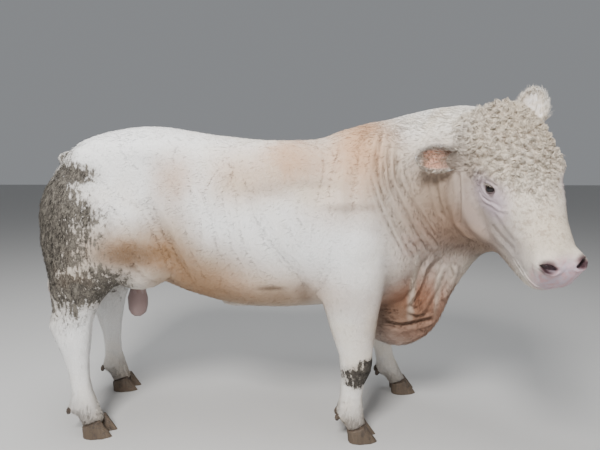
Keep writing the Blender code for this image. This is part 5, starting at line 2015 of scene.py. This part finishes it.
@dataclass(frozen=True)
class Ear:
    """A leaf-shaped ear with its fringe.

    Args:
        side: its side.
        root: where it grows, in the head's axes, on the left side.
        turns: how far it is swept back, lifted and rolled, in degrees, each with its axis.
        soil_and_shade: how far its hollow darkens towards the root, partly painted shade in its depth and
            partly soiling, and how thick its brown flecks are.
        blush: how pink its hollow is.
        voxel: its mesh size.
        rounds: how often it is smoothed.
        depth: how deep it lies under the tips of its hair.
    """

    side: Side
    root: Point
    turns: tuple[tuple[float, str], ...]
    soil_and_shade: float
    blush: float
    voxel: float = 0.0023
    rounds: int = 5
    depth: float = 0.0012

    @property
    def axes(self) -> Matrix:
        """The ear's own axes in the frame: y runs out to its tip, z out of its hollow."""
        return HEAD @ Matrix.Diagonal((1, self.side.value, 1, 1)) @ placed(self.root, self.turns)

    def build(self, coat: Finish) -> list[Piece]:
        """Makes the ear.

        Args:
            coat: the finish of its hair.

        Returns:
            The pieces.
        """
        word = self.side.name.lower()
        ear = soften(f"ear_leaf_{word}", f"ear_{word}", self.voxel, self.rounds)
        local, inner, edge = self.leaf(points_of(ear), normals_of(ear))
        depth = self.depth + 0.0006 * np.sin(local[:, 0] * 420) * inner
        move_points(ear, points_of(ear) - normals_of(ear) * depth[:, None])
        unfold(ear)
        mark_points(ear, inner=inner, edge=edge, out=local[:, 1] / EAR_LENGTH)
        dress(ear, "coat_head", self.finish(word), f"ear_{word}")
        return [ear, *self.hair(f"ear_hair_{word}", ear, coat)]

    def leaf(self, points: Rows, normals: Rows) -> tuple[Rows, Rows, Rows]:
        """Where places on the ear lie on its rolled leaf.

        Args:
            points: the places.
            normals: the way that the surface faces there.

        Returns:
            The places in the ear's axes, how far each faces the hollow, and how near it is to the edge.
        """
        inward = self.axes.inverted()
        local = carry(points, inward)
        facing = unit(normals @ np.array(inward.to_3x3()).T)
        out = np.clip(local[:, 1] / EAR_LENGTH, 0.0, 1.0)
        width = EAR_WIDTH * (0.3 + 0.7 * np.sin(pi * np.minimum(1.0, 0.16 + 0.62 * out)) ** 1.2)
        width = np.maximum(width * np.sqrt(np.maximum(1 - out**5, 0.0)), 0.01)
        curl = np.radians(250 - 150 * np.minimum(1.0, out * 1.6))
        radius = width / curl
        axis = radius * 0.5 - 0.03 * out**2
        across = unit(np.stack([-local[:, 0], np.zeros(len(local)), axis - local[:, 2]], 1))
        inner = step((facing * across).sum(1), -0.25, 0.35)
        angle = np.abs(np.arctan2(local[:, 0], axis - local[:, 2])) / (curl / 2)
        edge = np.maximum(step(angle, 0.5, 0.92), step(out, 0.78, 0.97))
        return local, inner, edge

    def hair(self, name: str, ear: Piece, coat: Finish) -> list[Piece]:
        """Short hair on the ear's back and in its hollow, and a long fringe along its edge.

        Args:
            name: the pieces' name.
            ear: the ear's leaf.
            coat: the hair's finish.

        Returns:
            The pieces.
        """
        scalp = Scalp(ear, parted=False)
        local, inner, edge = self.leaf(scalp.tri_points.mean(1), scalp.tri_normals.mean(1))
        out = local[:, 1] / EAR_LENGTH
        clear = step(out, 0.1, 0.25)
        lock = np.maximum(1 - inner, 1 - clear) * step(out, 0.46, 0.2)
        hollow = inner * (0.07 + 0.93 * edge) * clear
        along, open_to = (np.array(self.axes.to_3x3().col[axis].normalized()) for axis in (1, 2))
        tip = np.array(self.axes @ Vector((0, EAR_LENGTH, 0)))
        kinds = (
            ("back", Fleece(80000, 0.012, 0.0007, 0.0, 0.1), (1 - inner) * (1 - 0.4 * edge), 0.0),
            ("fringe", Fleece(56000, 0.022, 0.00062, 0.1, 0.16, 1), edge, 0.3),
            ("lock", Fleece(70000, 0.034, 0.0007, 0.2, 0.34, 1), lock, 0.7),
            ("hollow", Fleece(60000, 0.026, 0.0006, 0.22, 0.34, 1), hollow, 0.55),
        )
        pieces = []
        for word, kind, where, toward in kinds:
            roots = scalp.draw(kind.density * where)
            way = along + toward * open_to + 0.15 * scalp.rng.normal(size=roots.points.shape)
            way = unit(way - (way * roots.normals).sum(1, keepdims=True) * roots.normals * 0.8)
            late = step((roots.points - tip) @ along, -0.03, 0.0)
            paths, widths = kind.comb(roots, way * (1 - 0.6 * late)[:, None], scalp.rng)
            pieces += plant(f"{name}_{word}", paths, roots, widths, coat, "coat_head")
        return pieces

    def finish(self, word: str) -> Finish:
        """The ear's skin: pink in the hollow, darkening towards the root as painted shade and soiling, with
        brown flecks of dirt, cream outside.

        Args:
            word: right or left.

        Returns:
            The material.
        """
        dye = Dye(f"ear_skin_{word}")
        tint = CoatColours()
        inner, edge, out = dye.mark("inner"), dye.mark("edge"), dye.mark("out")
        place = dye.place
        cloud, fleck = dye.noise(place, 34.0, 3.0, 0.6), dye.noise(place, 160.0, 2.0, 0.6)
        pink = dye.mix(cloud.step(0.42, 0.6), (0.43, 0.165, 0.075), (0.15, 0.06, 0.028))
        # Painted shade and soiling: the hollow darkens towards its root, where it lies deepest.
        pink = dye.mix((1 - out.step(0.2, 0.62)) * self.soil_and_shade, pink, (0.085, 0.045, 0.028))
        outer = dye.mix(cloud.step(0.35, 0.65), tint.white, tint.cream)
        colour = dye.mix(inner * (1 - edge) * self.blush, outer, pink)
        colour = dye.mix(fleck.step(0.46, 0.62) * inner * (0.7 * self.soil_and_shade), colour, tint.umber)
        dye.bump(dye.noise(place, 420.0, 3.0, 0.6), 0.001, 0.8)
        return dye.finish(Base_Color=colour, Roughness=0.7, Specular_IOR_Level=0.25)


EARS = (
    Ear(Side.RIGHT, (0.072, 0.132, -0.104), ((12, "Z"), (2, "X"), (32, "Y")), 1.0, 0.85),
    Ear(Side.LEFT, (0.042, 0.11, -0.058), ((76, "Z"), (32, "X"), (-20, "Y")), 0.2, 0.12),
)


@dataclass
class Hooves:
    """The claws and dewclaws, of ringed horn.

    Args:
        voxel: their mesh size.
        rounds: how often they are smoothed.
        spacing: from one growth ring to the next.
        ridge: how far a ring stands out.
    """

    voxel: float = 0.0026
    rounds: int = 3
    spacing: float = 0.0082
    ridge: float = 0.0007

    def build(self) -> list[Piece]:
        """Makes all sixteen horns.

        Returns:
            The pieces.
        """
        horn = self.finish()
        pieces = []
        for name in sorted(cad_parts):
            if not name.startswith(("claw_", "dewclaw_")):
                continue
            obj = soften(name.replace("claw_", "horn_"), name, self.voxel, self.rounds)
            self.ring(obj)
            dress(obj, "horn", horn, name)
            pieces.append(obj)
        return pieces

    def ring(self, obj: Piece) -> None:
        """Presses growth rings into the wall of a horn and keeps its sole flat.

        Args:
            obj: the horn.
        """
        points, normals = points_of(obj), normals_of(obj)
        low, high = points.min(0), points.max(0)
        long = (points[:, 0] - low[0]) / (high[0] - low[0])
        depth = high[2] - points[:, 2] - 0.35 * (high[2] - low[2]) * (1 - long)
        wall = step(np.abs(normals[:, 2]), 0.85, 0.55)
        turn = 2 * pi * depth / self.spacing
        wave = np.sin(turn) + 0.5 * np.sin(turn * 2.3 + 1)
        wave += 0.5 * np.sin(points[:, 0] * 260 + points[:, 1] * 190)
        points += normals * (self.ridge * wall * wave)[:, None]
        sole = points[:, 2] < low[2] + 0.0035
        points[sole, 2] = np.where(normals[sole, 2] < -0.4, low[2], points[sole, 2])
        points[:, 2] = np.maximum(points[:, 2], 0.0)
        move_points(obj, points)

    def finish(self) -> Finish:
        """Grey-brown horn with paler streaks, dulled by dried dirt.

        Returns:
            The material.
        """
        dye = Dye("hoof_horn")
        bands = dye.noise(dye.stretched((6.0, 6.0, 150.0)), 1.0, 2.0)
        streaks = dye.noise(dye.stretched((90.0, 90.0, 8.0)), 1.0, 3.0)
        crust = dye.noise(dye.place, 60.0, 4.0, 0.7)
        horn = dye.mix(streaks.step(0.3, 0.7), (0.04, 0.03, 0.024), (0.115, 0.085, 0.062))
        horn = dye.mix(bands.step(0.45, 0.65) * 0.5, horn, (0.07, 0.052, 0.04))
        dirt = (crust + (1 - dye.height().step(0.0, 0.09)) * 0.22).step(0.5, 0.68) * 0.75
        colour = dye.mix(dirt, horn, (0.11, 0.08, 0.055))
        dye.bump(bands * 0.5 + streaks * 0.3 + crust * dirt, 0.0014, 0.8)
        return dye.finish(Base_Color=colour, Roughness=(dirt * 0.35 + 0.46).limit(), Specular_IOR_Level=0.35)


GOLDEN_ANGLE = 2.39996


@dataclass
class TailSwitch:
    """The long locks at the end of the tail.

    Args:
        locks: how many locks there are.
        each: how many strands a lock has.
        length: the longest lock.
        steps: how many points a strand has after its root.
        width: a strand's half width.
    """

    locks: int = 19
    each: int = 80
    length: float = 0.2
    steps: int = 6
    width: float = 0.00115

    def build(self, skin: Piece) -> list[Piece]:
        """Makes the switch.

        Args:
            skin: the skin, whose unwrap gives the strands' places.

        Returns:
            The pieces.
        """
        rng = np.random.default_rng(SEED + 3)
        end = np.array(drawn(DOCK[-1][:3])) - (0.0, 0.0, 0.015)
        shares = np.linspace(0, 1, self.steps + 1)
        paths = []
        for k in range(self.locks):
            share = k / self.locks
            angle = k * GOLDEN_ANGLE
            out = np.array([cos(angle), sin(angle), 0.0])
            side = np.array([-out[1], out[0], 0.0])
            root = end + out * 0.005 + (0.0, 0.0, 0.1 * (1 - share))
            length = self.length * rng.uniform(0.78, 1.0) * (0.8 + 0.2 * share)
            tip = root + out * (0.006 + 0.012 * (1 - share)) + (0.004, -0.006, -length)
            bow = out * (0.02 + 0.01 * (1 - share))
            middle = root + (tip - root) * shares[:, None] + bow * np.sin(pi * shares[:, None] * 0.85)
            wave = 0.006 * np.sin(shares * (5 + 2 * rng.random()) + 6 * rng.random())
            middle += side * (wave * shares)[:, None]
            thick = np.interp(shares, (0.0, 0.25, 0.6, 0.85, 1.0), (0.45, 1.0, 0.95, 0.6, 0.28))[:, None]
            for _ in range(self.each):
                radius, turn = sqrt(rng.random()), 2 * pi * rng.random()
                offset = side * (cos(turn) * radius * 0.0115) + out * (sin(turn) * radius * 0.0062)
                drift = side * rng.normal(0, 0.0016) + out * rng.normal(0, 0.0012)
                cut = shares * rng.uniform(0.78, 1.0)
                row = np.stack([np.interp(cut, shares, middle[:, axis]) for axis in range(3)], 1)
                paths.append(row + offset * thick + drift * shares[:, None])
        rows = np.array(paths)
        scalp = Scalp(skin, parted=False)
        near = norm(scalp.tri_points.mean(1) - (end + (0, 0, 0.03)), axis=1)
        flat = scalp.tri_flat[np.argsort(near)[:60]].mean(1)
        away = unit((rows[:, 2] - end) * (1, 1, 0))
        roots = Roots(rows[:, 0], away, flat[rng.integers(0, len(flat), len(rows))], np.zeros(len(rows)))
        taper = self.width * np.array([0.7, 1.0, 1.0, 0.9, 0.75, 0.5])[None]
        widths = taper * rng.uniform(0.7, 1.2, (len(rows), 1))
        pieces = plant("switch", rows, roots, widths, self.finish(), "hair")
        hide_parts("tail")
        return pieces

    def finish(self) -> Finish:
        """Long cream hair, browner and caked towards its tips.

        Returns:
            The material.
        """
        dye = Dye("switch_hair")
        tint = CoatColours()
        place = dye.place
        cloud, tone = dye.noise(place, 22.0, 3.0, 0.6), dye.noise(place, 260.0, 1.0, 0.5)
        low = 1 - (dye.height() + (cloud - 0.5) * 0.14).step(0.58, 0.76)
        colour = dye.mix(tone.step(0.3, 0.7), tint.cream, tint.white)
        colour = dye.mix(low * 0.8, colour, dye.mix(cloud.step(0.4, 0.6), tint.umber, tint.ochre))
        return dye.finish(Base_Color=colour, Roughness=0.62, Specular_IOR_Level=0.25)


# The studio


@dataclass
class Studio:
    """The pale floor, the soft light and the camera of the photograph.

    Args:
        lens: the camera's lens in millimetres, on a sensor 36 wide.
        azimuth: how far its line of sight turns from the bull's left, in degrees.
        pitch: how far it looks down, in degrees.
        along: how far it stands ahead of the bull's middle.
        away: how far it stands from the bull's middle line.
        height: how high it stands.
    """

    lens: float = 28.8
    azimuth: float = 1.5
    pitch: float = 7.0
    along: float = 0.27
    away: float = 2.35
    height: float = 1.25

    def build(self) -> None:
        """Sets everything up."""
        self.floor()
        self.lights()
        self.camera()

    def floor(self) -> None:
        """A plain pale floor."""
        deselect()
        bpy.ops.mesh.primitive_plane_add(size=60.0, location=(0.0, 0.0, 0.0))
        floor = bpy.context.view_layer.objects.active
        floor.name = "studio_floor"
        paint = Dye("studio_paint").finish(Base_Color=(0.5, 0.495, 0.485), Roughness=0.85)
        floor.data.materials.append(paint)

    def lights(self) -> None:
        """Large soft lights and a pale surround."""
        for name, place, size, power, tint in (
            ("key", (-0.9, -3.4, 4.1), 1.4, 430.0, (1.0, 0.985, 0.965)),
            ("top", (-0.6, 0.4, 5.0), 2.6, 150.0, (0.96, 0.98, 1.0)),
            ("fill", (3.2, -3.2, 2.0), 2.4, 42.0, (0.95, 0.97, 1.0)),
        ):
            lamp = bpy.data.lights.new(name, "AREA")
            lamp.size = size
            lamp.energy = power
            lamp.color = tint
            obj = link(name, lamp)
            obj.location = place
            obj.rotation_euler = (Vector((0, 0, 0.8)) - Vector(place)).to_track_quat("-Z", "Y").to_euler()
        world = bpy.data.worlds.new("surround")
        world.use_nodes = True
        back = world.node_tree.nodes["Background"]
        back.inputs["Color"].default_value = (0.8, 0.83, 0.87, 1.0)
        back.inputs["Strength"].default_value = 0.31
        bpy.context.scene.world = world

    def camera(self) -> None:
        """The camera, where the photograph was taken from."""
        turn, drop = radians(self.azimuth), radians(self.pitch)
        right = Vector((cos(turn), sin(turn), 0.0))
        level = Vector((-sin(turn), cos(turn), 0.0))
        camera = bpy.data.cameras.new("camera")
        camera.lens = self.lens
        camera.sensor_width = 36.0
        obj = link("camera", camera)
        obj.location = drawn((0, 0, self.height)) + right * self.along - level * self.away
        ahead = level * cos(drop) - Vector((0, 0, sin(drop)))
        obj.rotation_euler = ahead.to_track_quat("-Z", "Y").to_euler()
        bpy.context.scene.camera = obj


def count_triangles(pieces: Sequence[Piece]) -> int:
    """The triangles of several pieces together, where a face with n corners counts n - 2."""
    return sum(len(piece.data.loops) - 2 * len(piece.data.polygons) for piece in pieces)


def main() -> None:
    """Builds the bull's visual model and its studio."""
    logging.basicConfig(level=logging.INFO, format="%(name)s: %(message)s")
    skin = Skin().build()
    curls = Curls(skin)
    coat = CoatFinish("hair_tufts").coat()
    groups = {
        "skin": [skin],
        "face": [piece for side in Side for piece in Eye(side).build(skin)],
        "ears": [piece for ear in EARS for piece in ear.build(coat)],
        "hooves": Hooves().build(),
        "switch": TailSwitch().build(skin),
        "coat": Coat(skin, coat).build(),
        "curls": curls.build(coat),
    }
    for name, pieces in groups.items():
        LOG.info("%s: %d pieces, %d triangles", name, len(pieces), count_triangles(pieces))
    Studio().build()


if __name__ == "__main__":
    main()
